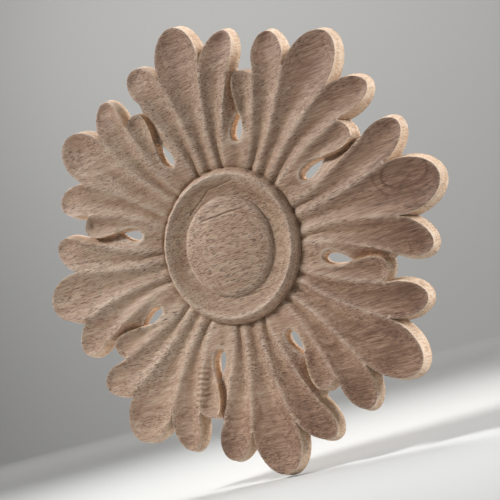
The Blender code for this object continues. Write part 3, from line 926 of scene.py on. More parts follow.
    def rim_rows(self, edges: list[np.ndarray]) -> np.ndarray:
        """Rows of points just inside the free edges, which carry the worn arris."""
        rounding = self.depths.rim_rounding
        rows = []
        for edge in edges:
            run = np.diff(edge, axis=0)
            middles = 0.5 * (edge[1:] + edge[:-1])
            normals = np.column_stack([-run[:, 1], run[:, 0]])
            normals /= np.maximum(np.linalg.norm(normals, axis=1), TINY)[:, None]
            for share, starts in zip(self.rim_shares, (middles, edge[1:], middles)):
                for side in (1.0, -1.0):
                    rows.append(starts + side * share * rounding * normals)
        points = np.vstack(rows)
        distance = np.minimum(line_distance(points, edges[0]), line_distance(points, edges[1]))
        return points[distance > self.rim_gap * rounding]

    def fill(
        self,
        plan: EighthPlan,
        boundary: np.ndarray,
        eye: np.ndarray,
        edges: list[np.ndarray],
    ) -> np.ndarray:
        """Points in rows across the plan, kept clear of its edges and creases."""
        step, rows = self.step, []
        # The rows are as far apart as a triangle with three equal sides is high
        for row, y in enumerate(np.arange(0.0, self.leaf.tip_radius, step * math.sqrt(0.75))):
            x = np.arange(0.0, self.leaf.tip_radius, step) + (row % 2) * 0.5 * step
            rows.append(np.column_stack([x, np.full(len(x), y)]))
        points = np.vstack(rows)
        points = points[inside(points, boundary) & ~inside(points, eye)]
        for line in plan.creases() + [plan.foot()]:
            points = points[line_distance(points, line) > self.fill_gap * step]
        last_row = self.rim_shares[-1] * self.depths.rim_rounding
        for line in edges:
            points = points[line_distance(points, line) > 0.5 * step + last_row]
        return points

    def middle_profile(self) -> list[Pair]:
        """Radii and heights of the turned middle, from beside the centre out to the ring's crest."""
        ring = self.ring
        dome_fall = ring.dome_height - ring.dome_edge_height
        profile = []
        for radius in np.linspace(0.0, ring.dome_radius, ring.dome_rows)[1:]:
            profile.append((radius, ring.dome_height - dome_fall * (radius / ring.dome_radius) ** 2))
        edge_slope = 2.0 * dome_fall / ring.dome_radius
        shoulder_height = ring.dome_edge_height - edge_slope * (ring.shoulder_radius - ring.dome_radius)
        for share in np.linspace(0.0, 1.0, ring.shoulder_rows)[1:]:
            # The dome rolls over: the shoulder pulls this curve out, but it doesn't reach it
            before, pull, after = (1.0 - share) ** 2, 2.0 * share * (1.0 - share), share**2
            radius = before * ring.dome_radius + pull * ring.shoulder_radius + after * ring.groove_radius
            height = before * ring.dome_edge_height + pull * shoulder_height + after * ring.groove_height
            profile.append((radius, height))
        for share in np.linspace(0.0, 1.0, ring.cove_rows)[1:]:
            radius = ring.groove_radius + (ring.crest_radius - ring.groove_radius) * share
            rise = (ring.crest_height - ring.groove_height) * share**ring.cove_power
            profile.append((radius, ring.groove_height + rise))
        return profile

    def ring_wear_and_highlight(self, radius: float) -> float:
        """How much the turned middle is rubbed and painted pale as a highlight at a radius: most on the
        crest and the shoulder.
        """
        ring = self.ring
        on_crest = math.exp(-(((radius - ring.crest_radius) / ring.edge_wear_and_highlight) ** 2))
        on_shoulder = math.exp(-(((radius - ring.shoulder_radius) / ring.edge_wear_and_highlight) ** 2))
        return ring.crest_rubbed_highlight * on_crest + ring.shoulder_rubbed_highlight * on_shoulder

    def turn_middle(self, bm: bmesh.types.BMesh, foot: list[Vertex]) -> None:
        """Builds the dome, the cove and the ring inside the vertices along the ring's foot."""
        ring, worn_and_highlit = self.ring, bm.verts.layers.float["worn_and_highlit"]
        angles = [math.atan2(vertex.co.y, vertex.co.x) for vertex in foot]
        inner = [bm.verts.new((0.0, 0.0, ring.dome_height))] * len(angles)
        for radius, height in self.middle_profile():
            places = [(radius * math.cos(angle), radius * math.sin(angle), height) for angle in angles]
            outer = [bm.verts.new(place) for place in places]
            for vertex in outer:
                vertex[worn_and_highlit] = self.ring_wear_and_highlight(radius)
            self.join_rows(bm, inner, outer)
            inner = outer
        for share in ring.slope_rows:
            radius = ring.crest_radius + (ring.foot_radius - ring.crest_radius) * share
            outer = []
            for angle, low in zip(angles, foot):
                height = ring.crest_height - (ring.crest_height - low.co.z) * share**ring.slope_power
                outer.append(bm.verts.new((radius * math.cos(angle), radius * math.sin(angle), height)))
                outer[-1][worn_and_highlit] = self.ring_wear_and_highlight(radius)
            self.join_rows(bm, inner, outer)
            inner = outer
        self.join_rows(bm, inner, foot)

    @staticmethod
    def join_rows(bm: bmesh.types.BMesh, inner: list[Vertex], outer: list[Vertex]) -> None:
        """Faces between two rows of vertices with as many in each."""
        for place in range(len(inner) - 1):
            corners = (inner[place], outer[place], outer[place + 1], inner[place + 1])
            bm.faces.new(list(dict.fromkeys(corners)))

    @staticmethod
    def vertices_at(vertices: list[Vertex], points: np.ndarray) -> list[Vertex]:
        """The vertices that lie on given points of the plan."""
        places = np.array([(vertex.co.x, vertex.co.y) for vertex in vertices])
        return [vertices[int(np.argmin(((places - point) ** 2).sum(1)))] for point in points]

    def close_back(self, bm: bmesh.types.BMesh, front: list[Vertex], plan: EighthPlan) -> None:
        """Joins the free edges of the front to those of the back, and closes the flat back.

        Args:
            bm: The mesh of one eighth, with its front.
            front: The vertices of the front.
            plan: The lines of the carving.
        """
        outline, eye = plan.back_outline(), plan.back_eye()
        wall, worn_and_highlit = (bm.verts.layers.float[name] for name in ("wall", "worn_and_highlit"))
        levels = [level / self.wall_rows for level in range(1, self.wall_rows + 1)]
        even = [(level, level, 0.0, 1.0) for level in levels]
        corners = [bm.verts.new((0.0, 0.0, 0.0))]
        for upper, lower, closed in ((plan.outline(), outline, False), (plan.eye(), eye, True)):
            top = self.vertices_at(front, upper)
            row = top
            for depth, inset, rubbed_highlight, sawn in self.eye.wall() if closed else even:
                below = []
                for high, (x, y) in zip(top, lower):
                    out = 1.0 - inset
                    place = (high.co.x * out + x * inset, high.co.y * out + y * inset)
                    below.append(bm.verts.new((*place, high.co.z * (1.0 - depth))))
                    below[-1][wall] = sawn * self.eye_wall_bounce if closed else sawn
                    # Lip rows take the pale rubbed colour, partly a painted highlight
                    below[-1][worn_and_highlit] = rubbed_highlight
                if closed:
                    self.join_rows(bm, row + row[:1], below + below[:1])
                else:
                    self.join_rows(bm, row, below)
                row = below
            corners += row
        boundary = np.vstack([[(0.0, 0.0)], outline])
        flat = PointSet()
        flat.add_line(boundary, closed=True)
        flat.add_line(eye, closed=True)
        points, faces = flat.triangles(boundary, eye)
        ids = self.vertices_at(corners, points)
        for face in faces:
            bm.faces.new([ids[corner] for corner in reversed(face)])

    @staticmethod
    def mirror_round(piece: bpy.types.Object) -> None:
        """Mirrors the eighth about the diagonal, then about both axes."""
        bpy.ops.object.select_all(action="DESELECT")
        bpy.ops.object.empty_add(location=(0.0, 0.0, 0.0), rotation=(0.0, -EIGHTH, 0.0))
        diagonal = bpy.context.active_object
        diagonal.select_set(False)
        piece.select_set(True)
        bpy.context.view_layer.objects.active = piece
        for axes, across in (((False, False, True), diagonal), ((True, False, True), None)):
            bpy.ops.object.modifier_add(type="MIRROR")
            mirror = piece.modifiers[-1]
            mirror.use_axis = axes
            mirror.mirror_object = across
            mirror.use_mirror_merge = True
            mirror.merge_threshold = SAME_PLACE
            bpy.ops.object.modifier_apply(modifier=mirror.name)
        bpy.data.objects.remove(diagonal, do_unlink=True)
        bpy.ops.object.mode_set(mode="EDIT")
        bpy.ops.mesh.select_all(action="SELECT")
        bpy.ops.mesh.normals_make_consistent(inside=False)
        bpy.ops.object.mode_set(mode="OBJECT")

    def front_heights(self, points: np.ndarray, carving: Carving) -> np.ndarray:
        """Height of the front at any place but the ring's outer slope."""
        folded = np.sort(np.abs(points), axis=1)[:, ::-1]
        radius = np.hypot(*folded.T)
        profile = np.array([(0.0, self.ring.dome_height)] + self.middle_profile())
        turned = np.interp(radius, *profile.T)
        return np.where(radius < self.ring.crest_radius, turned, carving.heights(folded))

    def cut_marks(self, mesh: bpy.types.Mesh, carving: Carving) -> None:
        """Cuts the marks that only one place has, each in a finer part of the mesh.

        Args:
            mesh: The whole rosette.
            carving: The heights of the front.
        """
        bm = bmesh.new()
        bm.from_mesh(mesh)
        dust_and_shade = bm.verts.layers.float["dust_and_shade"]
        places, front = self.on_plan(bm.verts), self.on_front(bm)
        near = front & np.any([mark.reaches(places) for mark in self.marks], axis=0)
        chosen = [edge for edge in bm.edges if all(near[vertex.index] for vertex in edge.verts)]
        made = bmesh.ops.subdivide_edges(bm, edges=chosen, cuts=2, use_grid_fill=True)
        fresh = [item for item in made["geom_inner"] if isinstance(item, Vertex)]
        LOG.info("marks: %d vertices added", len(fresh))
        for vertex, height in zip(fresh, self.front_heights(self.on_plan(fresh), carving)):
            vertex.co.y = -height
        marked = [vertex for vertex, in_front in zip(bm.verts, self.on_front(bm)) if in_front]
        places = self.on_plan(marked)
        for mark in self.marks:
            for vertex, lowering in zip(marked, mark.lowering(places)):
                vertex.co.y += lowering
                # The marks' hollows take painted shade
                vertex[dust_and_shade] = max(vertex[dust_and_shade], self.mark_dust_and_shade * lowering)
        bm.to_mesh(mesh)
        bm.free()

    @staticmethod
    def on_plan(vertices: Iterable[Vertex]) -> np.ndarray:
        """Where each vertex of the whole rosette lies on the plan."""
        return np.array([(vertex.co.x, vertex.co.z) for vertex in vertices])

    @staticmethod
    def on_front(bm: bmesh.types.BMesh) -> np.ndarray:
        """Whether each vertex is on the carved front, away from the walls."""
        wall = bm.verts.layers.float["wall"]
        return np.array([vertex.co.y < -FRONT_DEPTH and vertex[wall] == 0.0 for vertex in bm.verts])

    def uneven_surface(self, piece: bpy.types.Object) -> None:
        """Lowers the front a little here and there, as hand gouges and sanding leave it."""
        for vertex in piece.data.vertices:
            if vertex.co.y > -FRONT_DEPTH:
                continue
            place = vertex.co / self.patch_size
            broad = 0.5 + 0.5 * noise.noise(place)
            fine = 0.5 + 0.5 * noise.noise(self.dimple_ratio * place + Vector(self.dimple_shift))
            vertex.co.y += self.patch_depth * broad + self.dimple_depth * fine


@dataclass(frozen=True)
class Pattern:
    """Soft patches of a size in millimetres along each axis, and how much they count."""

    size: Triple
    detail: float
    roughness: float
    weight: float


class Graph:
    """The nodes of one material, each added and joined in one call."""

    def __init__(self, name: str) -> None:
        """Starts a material, with Object coordinates turned to millimetres."""
        self.material = bpy.data.materials.new(name)
        self.material.use_nodes = True
        self.tree = self.material.node_tree
        self.shader = self.tree.nodes["Principled BSDF"]
        metres = self.node("ShaderNodeTexCoord", {}, output="Object")
        self.place = self.vector("SCALE", {0: metres, "Scale": 1.0 / MM})

    def join(self, value: Value, socket: Socket) -> None:
        """Links a socket to another's output, or sets it to a value."""
        if isinstance(value, Socket):
            self.tree.links.new(value, socket)
        else:
            socket.default_value = value

    def node(
        self,
        kind: str,
        inputs: dict[int | str, Value],
        output: int | str | None = 0,
        **settings: object,
    ) -> Socket | bpy.types.Node:
        """Adds a node.

        Args:
            kind: Blender's name for it.
            inputs: Values or outputs of other nodes, by the input's name or number.
            output: Which of its outputs is wanted, or None for the node itself.
            **settings: The node's own settings.

        Returns:
            The output, or the node.
        """
        node = self.tree.nodes.new(kind)
        for name, value in settings.items():
            setattr(node, name, value)
        for name, value in inputs.items():
            self.join(value, node.inputs[name])
        return node if output is None else node.outputs[output]

    def maths(self, operation: str, *values: Value, use_clamp: bool = False) -> Socket:
        """A sum, product or other operation on numbers."""
        inputs = dict(enumerate(values))
        return self.node("ShaderNodeMath", inputs, operation=operation, use_clamp=use_clamp)

    def vector(
        self,
        operation: str,
        inputs: dict[int | str, Value],
        output: int | str = 0,
    ) -> Socket:
        """A sum, product or other operation on vectors."""
        return self.node("ShaderNodeVectorMath", inputs, output, operation=operation)

    def attribute(self, name: str) -> Socket:
        """A value that the mesh carries."""
        return self.node("ShaderNodeAttribute", {}, output="Fac", attribute_name=name)

    def part(self, vector: Socket, axis: str) -> Socket:
        """One coordinate of a vector."""
        return self.node("ShaderNodeSeparateXYZ", {0: vector}, output=axis)

    def span(self, value: Value, low: float, high: float) -> Socket:
        """Goes from 0 where a value is low to 1 where it is high, with soft ends."""
        inputs = {"Value": value, "From Min": low, "From Max": high}
        return self.node("ShaderNodeMapRange", inputs, interpolation_type="SMOOTHSTEP")

    def noise(self, place: Socket, pattern: Pattern) -> Socket:
        """Soft patches, about 0.5 on the whole."""
        scaled = self.vector("DIVIDE", {0: place, 1: pattern.size})
        inputs = {"Vector": scaled, "Scale": 1.0}
        inputs |= {"Detail": pattern.detail, "Roughness": pattern.roughness}
        return self.node("ShaderNodeTexNoise", inputs)

    def ramp(self, value: Value, stops: tuple[tuple[float, Colour], ...]) -> Socket:
        """Colours that follow a value through a row of stops."""
        ramp = self.node("ShaderNodeValToRGB", {"Fac": value}, output=None)
        elements = ramp.color_ramp.elements
        for _ in stops[2:]:
            elements.new(0.5)
        for element, (position, colour) in zip(elements, stops):
            element.position = position
            element.color = colour
        return ramp.outputs["Color"]

    def mixed(self, first: Value, second: Value, share: Value, blend_type: str = "MIX") -> Socket:
        """A colour between two others, or one laid over the other in another way."""
        inputs = {0: share, 6: first, 7: second}
        return self.node("ShaderNodeMix", inputs, output=2, data_type="RGBA", blend_type=blend_type)


@dataclass(frozen=True)
class Outcrop:
    """An oval line, in millimetres, where a scoop cuts through a growth layer."""

    x: float
    z: float
    half_length: float
    half_height: float
    change: float
    width: float = 0.1


@dataclass(frozen=True)
class WoodFinish:
    """Bare sanded hardwood, its grain along X, with open pores and soft growth layers."""

    darkest: Colour = (0.200, 0.108, 0.068, 1.0)
    dark: Colour = (0.340, 0.202, 0.135, 1.0)
    middle: Colour = (0.470, 0.310, 0.216, 1.0)
    pale: Colour = (0.580, 0.428, 0.316, 1.0)
    palest: Colour = (0.700, 0.560, 0.430, 1.0)
    tone_ends: Pair = (-0.6, 1.6)
    pore: Colour = (0.085, 0.045, 0.030, 1.0)
    # Pale colour of worn edges, ridges and lips: rubbed wear, and a painted highlight
    rubbed_highlight: Colour = (0.700, 0.570, 0.460, 1.0)
    sawn: Colour = (0.600, 0.410, 0.265, 1.0)
    sawn_pale: Colour = (0.700, 0.560, 0.430, 1.0)
    # Bright orange of the inner walls: painted bounce light in their shade
    bounce_lit: Colour = (0.920, 0.600, 0.360, 1.0)
    bounce_lit_dark: Colour = (0.560, 0.310, 0.170, 1.0)
    # Darker colour laid over valleys, cove, groove and mark hollows: painted shade, made patchy like
    # dust
    dust_and_shade: Colour = (0.700, 0.630, 0.520, 1.0)
    ring_dust_and_shade: tuple[Pair, ...] = (
        (20.9, 0.0),
        (21.8, 0.4),
        (25.0, 0.6),
        (29.4, 0.25),
        (30.3, 0.0),
        (32.8, 0.1),
        (33.7, 0.6),
        (34.5, 0.4),
        (37.0, 0.0),
    )
    dust_and_shade_reach: float = 50.0
    valley_dust_and_shade: float = 0.6
    dust: Pattern = Pattern((5.0, 5.0, 5.0), 3.0, 0.6, 0.8)
    dust_base: float = 0.55
    base_tone: float = 0.64
    # Darker towards +X and a little towards the top: painted shade of a light falling off away from the
    # lower left
    falloff_shade_x: float = -0.0029
    falloff_shade_z: float = -0.0006
    brown_way: Triple = (0.6, 0.0, -0.8)
    brown_span: Pair = (12.0, 68.0)
    brown_tone: float = -0.42
    rim_tone: float = -0.34
    rim_span: Pair = (58.0, 88.0)
    patches: Pattern = Pattern((70.0, 30.0, 30.0), 1.5, 0.5, 0.3)
    clouds: Pattern = Pattern((32.0, 7.0, 7.0), 2.0, 0.5, 0.7)
    streaks: Pattern = Pattern((40.0, 2.4, 2.4), 3.0, 0.6, 1.0)
    threads: Pattern = Pattern((20.0, 1.0, 1.0), 2.0, 0.6, 1.3)
    fibres: Pattern = Pattern((6.5, 0.42, 0.42), 2.0, 0.6, 2.2)
    outcrops: tuple[Outcrop, ...] = (
        Outcrop(85.0, 5.0, 10.0, 5.5, -0.7),
        Outcrop(86.0, 5.5, 14.5, 9.0, -0.45, 0.07),
        Outcrop(-61.0, -64.0, 9.0, 3.6, 0.4, 0.2),
        Outcrop(-61.0, -64.0, 5.5, 1.8, -0.35, 0.2),
    )
    outcrop_rag: float = 0.4
    roughness: float = 0.6
    specular: float = 0.35
    seams: tuple[float, ...] = (-87.9, 49.8)
    seam_tones: tuple[float, ...] = (-0.08, 0.05)
    seam_half_width: float = 0.1
    board_shift: Triple = (137.0, 53.0, 11.0)
    layer_spacing: float = 4.2
    layer_swing: Pattern = Pattern((120.0, 60.0, 34.0), 1.0, 0.4, 15.0)
    layer_ripple: Pattern = Pattern((14.0, 5.0, 4.0), 2.0, 0.5, 0.9)
    layer_rise: Pair = (0.45, 0.93)
    layer_power: float = 2.5
    layer_weight: float = -0.22
    crowding: Pattern = Pattern((38.0, 14.0, 14.0), 2.0, 0.5, 2.2)
    crowding_base: float = -0.55
    crowding_weight: float = 1.8
    crowded: Pair = (1.1, 1.6)
    dome_span: Pair = (24.0, 17.0)
    dome_crowding: float = 0.3
    pore_cell: Triple = (6.5, 0.64, 0.64)
    pore_reach: float = 0.27
    fine_pore_cell: Triple = (3.8, 0.36, 0.36)
    fine_pore_reach: float = 0.36
    fine_pores: float = 0.75
    pore_sizes: Pair = (0.6, 1.4)
    pore_core: float = 0.55
    faint_pore: float = 0.15
    front_pores: float = 0.9
    back_pores: float = 0.5
    saw_lines: Pattern = Pattern((0.55, 5.0, 0.55), 2.0, 0.6, 0.65)
    saw_blotches: Pattern = Pattern((6.0, 2.5, 6.0), 2.0, 0.5, 0.35)
    sawn_stops: Triple = (0.37, 0.47, 0.60)
    sawn_share: float = 0.8
    bounce_lit_stops: Pair = (0.36, 0.56)
    highlight_fibres: Pair = (0.25, 0.6)
    rubbed_highlight_share: float = 0.55
    back_skin: float = -0.02
    fibre_height: float = 0.6
    bump_strength: float = 0.8
    bump_depth: float = 0.15 * MM

    def material(self) -> bpy.types.Material:
        """Builds the material.

        Returns:
            A material whose pattern reads Object coordinates.
        """
        graph = Graph("carved_wood")
        graph.shader.inputs["Roughness"].default_value = self.roughness
        graph.shader.inputs["Specular IOR Level"].default_value = self.specular
        board = self.in_board(graph)
        fibres = graph.noise(board, self.fibres)
        pores = self.pores(graph, board)
        carved = graph.maths("LESS_THAN", graph.part(graph.place, "Y"), self.back_skin)
        colour = self.toned(graph, self.tone(graph, board, fibres, carved))
        colour = self.on_walls(graph, colour, carved)
        # Painted shade in valleys, cove, groove and hollows, patchy like dust
        dust_and_painted_shade = graph.maths("MULTIPLY", self.dust_and_painted_shade(graph), carved)
        colour = graph.mixed(colour, self.dust_and_shade, dust_and_painted_shade, blend_type="MULTIPLY")
        # Worn edges, ridges and lips turn pale: rubbed wear, and a painted highlight
        caught = graph.span(fibres, *self.highlight_fibres)
        rubbed_highlight = graph.maths("MULTIPLY", graph.attribute("worn_and_highlit"), caught)
        rubbed_highlight = graph.maths("MULTIPLY", rubbed_highlight, carved)
        rubbed_highlight = graph.maths("MULTIPLY", rubbed_highlight, self.rubbed_highlight_share, use_clamp=True)
        colour = graph.mixed(colour, self.rubbed_highlight, rubbed_highlight)
        more_in_front = self.front_pores - self.back_pores
        filled = graph.maths("MULTIPLY_ADD", carved, more_in_front, self.back_pores)
        colour = graph.mixed(colour, self.pore, graph.maths("MULTIPLY", pores, filled))
        graph.join(colour, graph.shader.inputs["Base Color"])
        hollow = graph.maths("MULTIPLY", pores, -1.0)
        height = graph.maths("MULTIPLY_ADD", fibres, self.fibre_height, hollow)
        inputs = {"Strength": self.bump_strength, "Distance": self.bump_depth, "Height": height}
        graph.join(graph.node("ShaderNodeBump", inputs), graph.shader.inputs["Normal"])
        return graph.material

    def toned(self, graph: Graph, tone: Socket) -> Socket:
        """The wood's colour for a tone, whose stops are moved so that they lie between 0 and 1."""
        low, high = self.tone_ends
        colours = (self.darkest, self.dark, self.middle, self.pale, self.palest)
        places = ((place - low) / (high - low) for place in (low, 0.0, 0.5, 1.0, high))
        tone = graph.maths("DIVIDE", graph.maths("SUBTRACT", tone, low), high - low)
        return graph.ramp(tone, tuple(zip(places, colours)))

    def on_walls(self, graph: Graph, colour: Socket, carved: Socket) -> Socket:
        """Pale sawn walls, with fine dark lines straight across from front to back, and a bright orange
        painted bounce light on the inner walls that lie in shade.

        Args:
            graph: The material's nodes.
            colour: Colour of the carved wood.
            carved: 1 on the front and the walls, 0 on the flat back.

        Returns:
            The colour with the walls put in.
        """
        lines = graph.noise(graph.place, self.saw_lines)
        blotches = graph.noise(graph.place, self.saw_blotches)
        shade = graph.maths("MULTIPLY", lines, self.saw_lines.weight)
        shade = graph.maths("MULTIPLY_ADD", blotches, self.saw_blotches.weight, shade)
        pale_walls = (self.middle, self.sawn, self.sawn_pale)
        sawn = graph.ramp(shade, tuple(zip(self.sawn_stops, pale_walls)))
        wall = graph.maths("MULTIPLY", graph.attribute("wall"), carved)
        share = graph.maths("MULTIPLY", graph.maths("MINIMUM", wall, 1.0), self.sawn_share)
        colour = graph.mixed(colour, sawn, share)
        # Where the wall value passes 1: painted bounce light, a bright orange
        bounce_lit = graph.ramp(shade, tuple(zip(self.bounce_lit_stops, (self.bounce_lit_dark, self.bounce_lit))))
        share = graph.maths("SUBTRACT", wall, 1.0, use_clamp=True)
        return graph.mixed(colour, bounce_lit, share)

    def dust_and_painted_shade(self, graph: Graph) -> Socket:
        """Dust and painted shade: in the valleys, in the cove and in the groove at the ring's foot."""
        reach = self.dust_and_shade_reach
        stops = ((place / reach, (share, share, share, 1.0)) for place, share in self.ring_dust_and_shade)
        ring = graph.ramp(graph.maths("DIVIDE", self.radius(graph), reach), tuple(stops))
        patchy = graph.noise(graph.place, self.dust)
        patchy = graph.maths("MULTIPLY_ADD", patchy, self.dust.weight, self.dust_base)
        valleys = graph.maths("MULTIPLY", graph.attribute("dust_and_shade"), self.valley_dust_and_shade)
        both = graph.maths("MAXIMUM", ring, valleys)
        return graph.maths("MULTIPLY", both, patchy, use_clamp=True)

    @staticmethod
    def radius(graph: Graph) -> Socket:
        """Distance from the rosette's middle axis, in millimetres."""
        level = graph.vector("MULTIPLY", {0: graph.place, 1: (1.0, 0.0, 1.0)})
        return graph.vector("LENGTH", {0: level}, output="Value")

    def in_board(self, graph: Graph) -> Socket:
        """Places in the wood: each board that is glued in has its own part of the pattern."""
        place = graph.place
        for seam in self.seams:
            above = graph.maths("GREATER_THAN", graph.part(graph.place, "Z"), seam)
            shift = graph.vector("SCALE", {0: self.board_shift, "Scale": above})
            place = graph.vector("ADD", {0: place, 1: shift})
        return place

    def tone(self, graph: Graph, board: Socket, fibres: Socket, carved: Socket) -> Socket:
        """How pale the wood is: boards, broad patches, growth layers, streaks and fibres, with painted
        shade towards the right and the top.

        Args:
            graph: The material's nodes.
            board: Places in the wood.
            fibres: The fine fibre pattern.
            carved: 1 on the front and the walls, 0 on the flat back.

        Returns:
            A value that is about 0.5, lower where the wood is darker.
        """
        clouds = graph.noise(board, self.clouds)
        outer = graph.span(self.radius(graph), *self.rim_span)
        tone = graph.maths("MULTIPLY_ADD", outer, self.rim_tone, self.base_tone)
        # Painted shade: darker towards +X and towards the top, as a light falling off away from the
        # lower left
        tone = graph.maths("MULTIPLY_ADD", graph.part(graph.place, "X"), self.falloff_shade_x, tone)
        tone = graph.maths("MULTIPLY_ADD", graph.part(graph.place, "Z"), self.falloff_shade_z, tone)
        way = graph.vector("DOT_PRODUCT", {0: graph.place, 1: self.brown_way}, output="Value")
        tone = graph.maths("MULTIPLY_ADD", graph.span(way, *self.brown_span), self.brown_tone, tone)
        parts = (
            (graph.noise(board, self.patches), self.patches.weight),
            (clouds, self.clouds.weight),
            (self.layers(graph, board), self.layer_weight),
            (graph.noise(board, self.streaks), self.streaks.weight),
            (graph.noise(board, self.threads), self.threads.weight),
            (fibres, self.fibres.weight),
        )
        for part, share in parts:
            tone = graph.maths("ADD", tone, graph.maths("MULTIPLY_ADD", part, share, -0.5 * share))
        rag = self.outcrop_rag
        ragged_edge = graph.maths("MULTIPLY_ADD", clouds, rag, -1.0 - 0.5 * rag)
        for oval in self.outcrops:
            away = graph.vector("SUBTRACT", {0: graph.place, 1: (oval.x, 0.0, oval.z)})
            size = (1.0 / oval.half_length, 0.0, 1.0 / oval.half_height)
            away = graph.vector("MULTIPLY", {0: away, 1: size})
            away = graph.vector("LENGTH", {0: away}, output="Value")
            away = graph.maths("ADD", away, ragged_edge)
            on_line = graph.span(graph.maths("ABSOLUTE", away), oval.width, 0.0)
            on_line = graph.maths("MULTIPLY", on_line, carved)
            tone = graph.maths("MULTIPLY_ADD", on_line, oval.change, tone)
        half = self.seam_half_width
        for seam, change in zip(self.seams, self.seam_tones):
            above = graph.span(graph.part(graph.place, "Z"), seam - half, seam + half)
            tone = graph.maths("MULTIPLY_ADD", above, change, tone)
        return tone

    def layers(self, graph: Graph, board: Socket) -> Socket:
        """Growth layers, nearly level with the face, so that scoops and hollows show their edges.

        Args:
            graph: The material's nodes.
            board: Places in the wood.

        Returns:
            A value that rises slowly through each layer and falls at its end.
        """
        level = graph.part(board, "Y")
        for pattern in (self.layer_swing, self.layer_ripple):
            level = graph.maths("MULTIPLY_ADD", graph.noise(board, pattern), pattern.weight, level)
        share = graph.maths("FRACT", graph.maths("DIVIDE", level, self.layer_spacing))
        rise = graph.span(share, *self.layer_rise)
        fall = graph.span(share, self.layer_rise[1], 1.0)
        return graph.maths("SUBTRACT", graph.maths("POWER", rise, self.layer_power), fall)

    def pores(self, graph: Graph, board: Socket) -> Socket:
        """Open pores: short dark strokes along the grain, dots where the grain is cut across."""
        crowding = graph.noise(board, self.crowding)
        crowding = graph.maths("MULTIPLY_ADD", crowding, self.crowding.weight, self.crowding_base)
        on_dome = graph.span(self.radius(graph), *self.dome_span)
        crowding = graph.maths("MULTIPLY_ADD", on_dome, self.dome_crowding, crowding)
        coarse = self.strokes(graph, board, self.pore_cell, self.pore_reach, crowding)
        fine = self.strokes(graph, board, self.fine_pore_cell, self.fine_pore_reach, crowding)
        return graph.maths("MAXIMUM", coarse, graph.maths("MULTIPLY", fine, self.fine_pores))

    def strokes(
        self,
        graph: Graph,
        board: Socket,
        cell: Triple,
        reach: float,
        crowding: Socket,
    ) -> Socket:
        """Strokes of one size.

        Args:
            graph: The material's nodes.
            board: Places in the wood.
            cell: Size of the box that holds one stroke, in millimetres.
            reach: Size of a stroke as a share of its box.
            crowding: How many of the boxes have a full stroke.

        Returns:
            1 in a stroke and 0 between strokes.
        """
        scaled = graph.vector("DIVIDE", {0: board, 1: cell})
        cells = graph.node("ShaderNodeTexVoronoi", {"Vector": scaled, "Scale": 1.0}, output=None)
        red = graph.node("ShaderNodeSeparateColor", {0: cells.outputs["Color"]})
        green = graph.node("ShaderNodeSeparateColor", {0: cells.outputs["Color"]}, output="Green")
        least, most = self.pore_sizes
        size = graph.maths("MULTIPLY_ADD", green, most - least, least)
        away = graph.maths("DIVIDE", cells.outputs["Distance"], size)
        near = graph.span(away, reach, self.pore_core * reach)
        chance = graph.maths("ADD", red, graph.maths("MULTIPLY", crowding, self.crowding_weight))
        chosen = graph.span(chance, *self.crowded)
        shown = graph.maths("MULTIPLY_ADD", chosen, 1.0 - self.faint_pore, self.faint_pore)
        return graph.maths("MULTIPLY", near, shown)


@dataclass(frozen=True)
class AreaLight:
    """A soft box: where it stands, where it points, its size and its power."""

    name: str
    place: Triple
    width: float
    height: float
    power: float
    colour: Triple = (1.0, 1.0, 1.0)
    aim: Triple = (0.0, 0.0, 0.0)
    spread: float = 180.0

    def build(self) -> None:
        """Sets up the light."""
        data = bpy.data.lights.new(self.name, "AREA")
        data.shape = "RECTANGLE"
        data.spread = math.radians(self.spread)
        data.size = self.width
        data.size_y = self.height
        data.energy = self.power
        data.color = self.colour
        light = bpy.data.objects.new(self.name, data)
        bpy.context.scene.collection.objects.link(light)
        light.location = self.place
        way = Vector(self.aim) - Vector(self.place)
        light.rotation_euler = way.to_track_quat("-Z", "Y").to_euler()


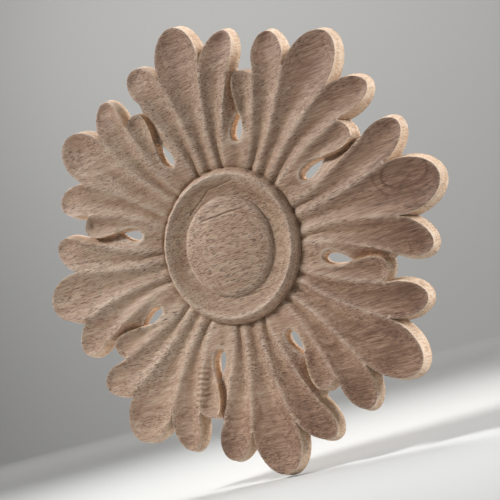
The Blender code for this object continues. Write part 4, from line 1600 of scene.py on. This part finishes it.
@dataclass
class Studio:
    """Pale floor and backdrop, soft lights and the camera."""

    floor_height: float = -100.2 * MM
    floor_size: float = 3.6
    wall_distance: float = 1.4
    sweep: float = 1.25
    sweep_steps: int = 32
    corner_reach: float = 0.01
    floor_colour: Colour = (0.52, 0.515, 0.50, 1.0)
    floor_roughness: float = 0.9
    sky: Colour = (0.97, 0.98, 1.0, 1.0)
    sky_strength: float = 0.06
    camera_place: Triple = (227.7 * MM, -405.3 * MM, -55.2 * MM)
    camera_right: Triple = (0.8339, 0.4862, -0.2612)
    camera_up: Triple = (0.2817, 0.0320, 0.9590)
    focal_length: float = 78.6
    sensor_width: float = 36.0
    nearest_seen: float = 0.01
    lights: tuple[AreaLight, ...] = (
        AreaLight("key", (-1.075, -0.825, 1.25), 0.5, 0.5, 1.3, spread=30.0),
        AreaLight("right_rim", (0.85, 0.10, 0.30), 0.4, 0.7, 1.5, (0.95, 0.98, 1.0), spread=45.0),
        AreaLight("top_rim", (0.1, 0.12, 0.95), 0.8, 0.3, 0.55, (0.95, 0.98, 1.0), spread=45.0),
        AreaLight("left_rim", (-0.8, 0.25, 0.05), 0.3, 0.7, 1.5, spread=60.0),
        AreaLight("backdrop", (-0.6, 0.55, 1.2), 1.6, 0.6, 11.0, aim=(-0.55, 1.15, 0.1), spread=150.0),
    )

    def build(self) -> None:
        """Builds the floor, the lights, the surroundings and the camera."""
        self.build_floor()
        for light in self.lights:
            light.build()
        self.build_world()
        self.build_camera()

    def build_floor(self) -> None:
        """A floor that sweeps up into a backdrop."""
        half = 0.5 * self.floor_size
        bpy.ops.object.select_all(action="DESELECT")
        centre = (0.0, self.wall_distance - half, self.floor_height)
        bpy.ops.mesh.primitive_plane_add(size=self.floor_size, location=centre)
        floor = bpy.context.active_object
        floor.name = "floor"
        bpy.ops.object.transform_apply(location=True, rotation=True, scale=True)
        bpy.ops.object.mode_set(mode="EDIT")
        bpy.ops.mesh.select_all(action="DESELECT")
        self.select_corner(floor)
        rise = {"value": (0.0, 0.0, self.floor_size)}
        bpy.ops.mesh.extrude_region_move(TRANSFORM_OT_translate=rise)
        self.select_corner(floor)
        bpy.ops.mesh.bevel(offset=self.sweep, segments=self.sweep_steps)
        bpy.ops.object.mode_set(mode="OBJECT")
        bpy.ops.object.shade_smooth()
        material = bpy.data.materials.new("pale_floor")
        material.use_nodes = True
        shader = material.node_tree.nodes["Principled BSDF"]
        shader.inputs["Base Color"].default_value = self.floor_colour
        shader.inputs["Roughness"].default_value = self.floor_roughness
        floor.data.materials.append(material)

    def select_corner(self, floor: bpy.types.Object) -> None:
        """Selects only the edge where the floor meets the backdrop."""
        bm = bmesh.from_edit_mesh(floor.data)
        for edge in bm.edges:
            middle = (edge.verts[0].co + edge.verts[1].co) / 2.0
            away = math.hypot(middle.y - self.wall_distance, middle.z - self.floor_height)
            edge.select = away < self.corner_reach
        bmesh.update_edit_mesh(floor.data)

    def build_world(self) -> None:
        """Faint light from all round."""
        world = bpy.data.worlds.new("studio")
        world.use_nodes = True
        background = world.node_tree.nodes["Background"]
        background.inputs["Color"].default_value = self.sky
        background.inputs["Strength"].default_value = self.sky_strength
        bpy.context.scene.world = world
        bpy.context.scene.view_settings.view_transform = "Standard"

    def build_camera(self) -> None:
        """The camera, where the photograph was taken from."""
        data = bpy.data.cameras.new("camera")
        data.lens = self.focal_length
        data.sensor_width = self.sensor_width
        data.clip_start = self.nearest_seen
        camera = bpy.data.objects.new("camera", data)
        bpy.context.scene.collection.objects.link(camera)
        right = Vector(self.camera_right).normalized()
        back = right.cross(Vector(self.camera_up)).normalized()
        up = back.cross(right)
        turn = Matrix((right, up, back)).transposed().to_4x4()
        camera.matrix_world = Matrix.Translation(self.camera_place) @ turn
        bpy.context.scene.camera = camera


def main() -> None:
    """Builds every piece in order and reports each one."""
    logging.basicConfig(level=logging.INFO, format="%(message)s")
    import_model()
    rosette = Rosette()
    piece = rosette.build()
    piece.data.materials.clear()
    piece.data.materials.append(WoodFinish().material())
    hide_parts(rosette.node)
    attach(piece, "root")
    LOG.info("%s: %d faces", piece.name, len(piece.data.polygons))
    Studio().build()
    LOG.info("studio: floor, lights and camera")


if __name__ == "__main__":
    main()
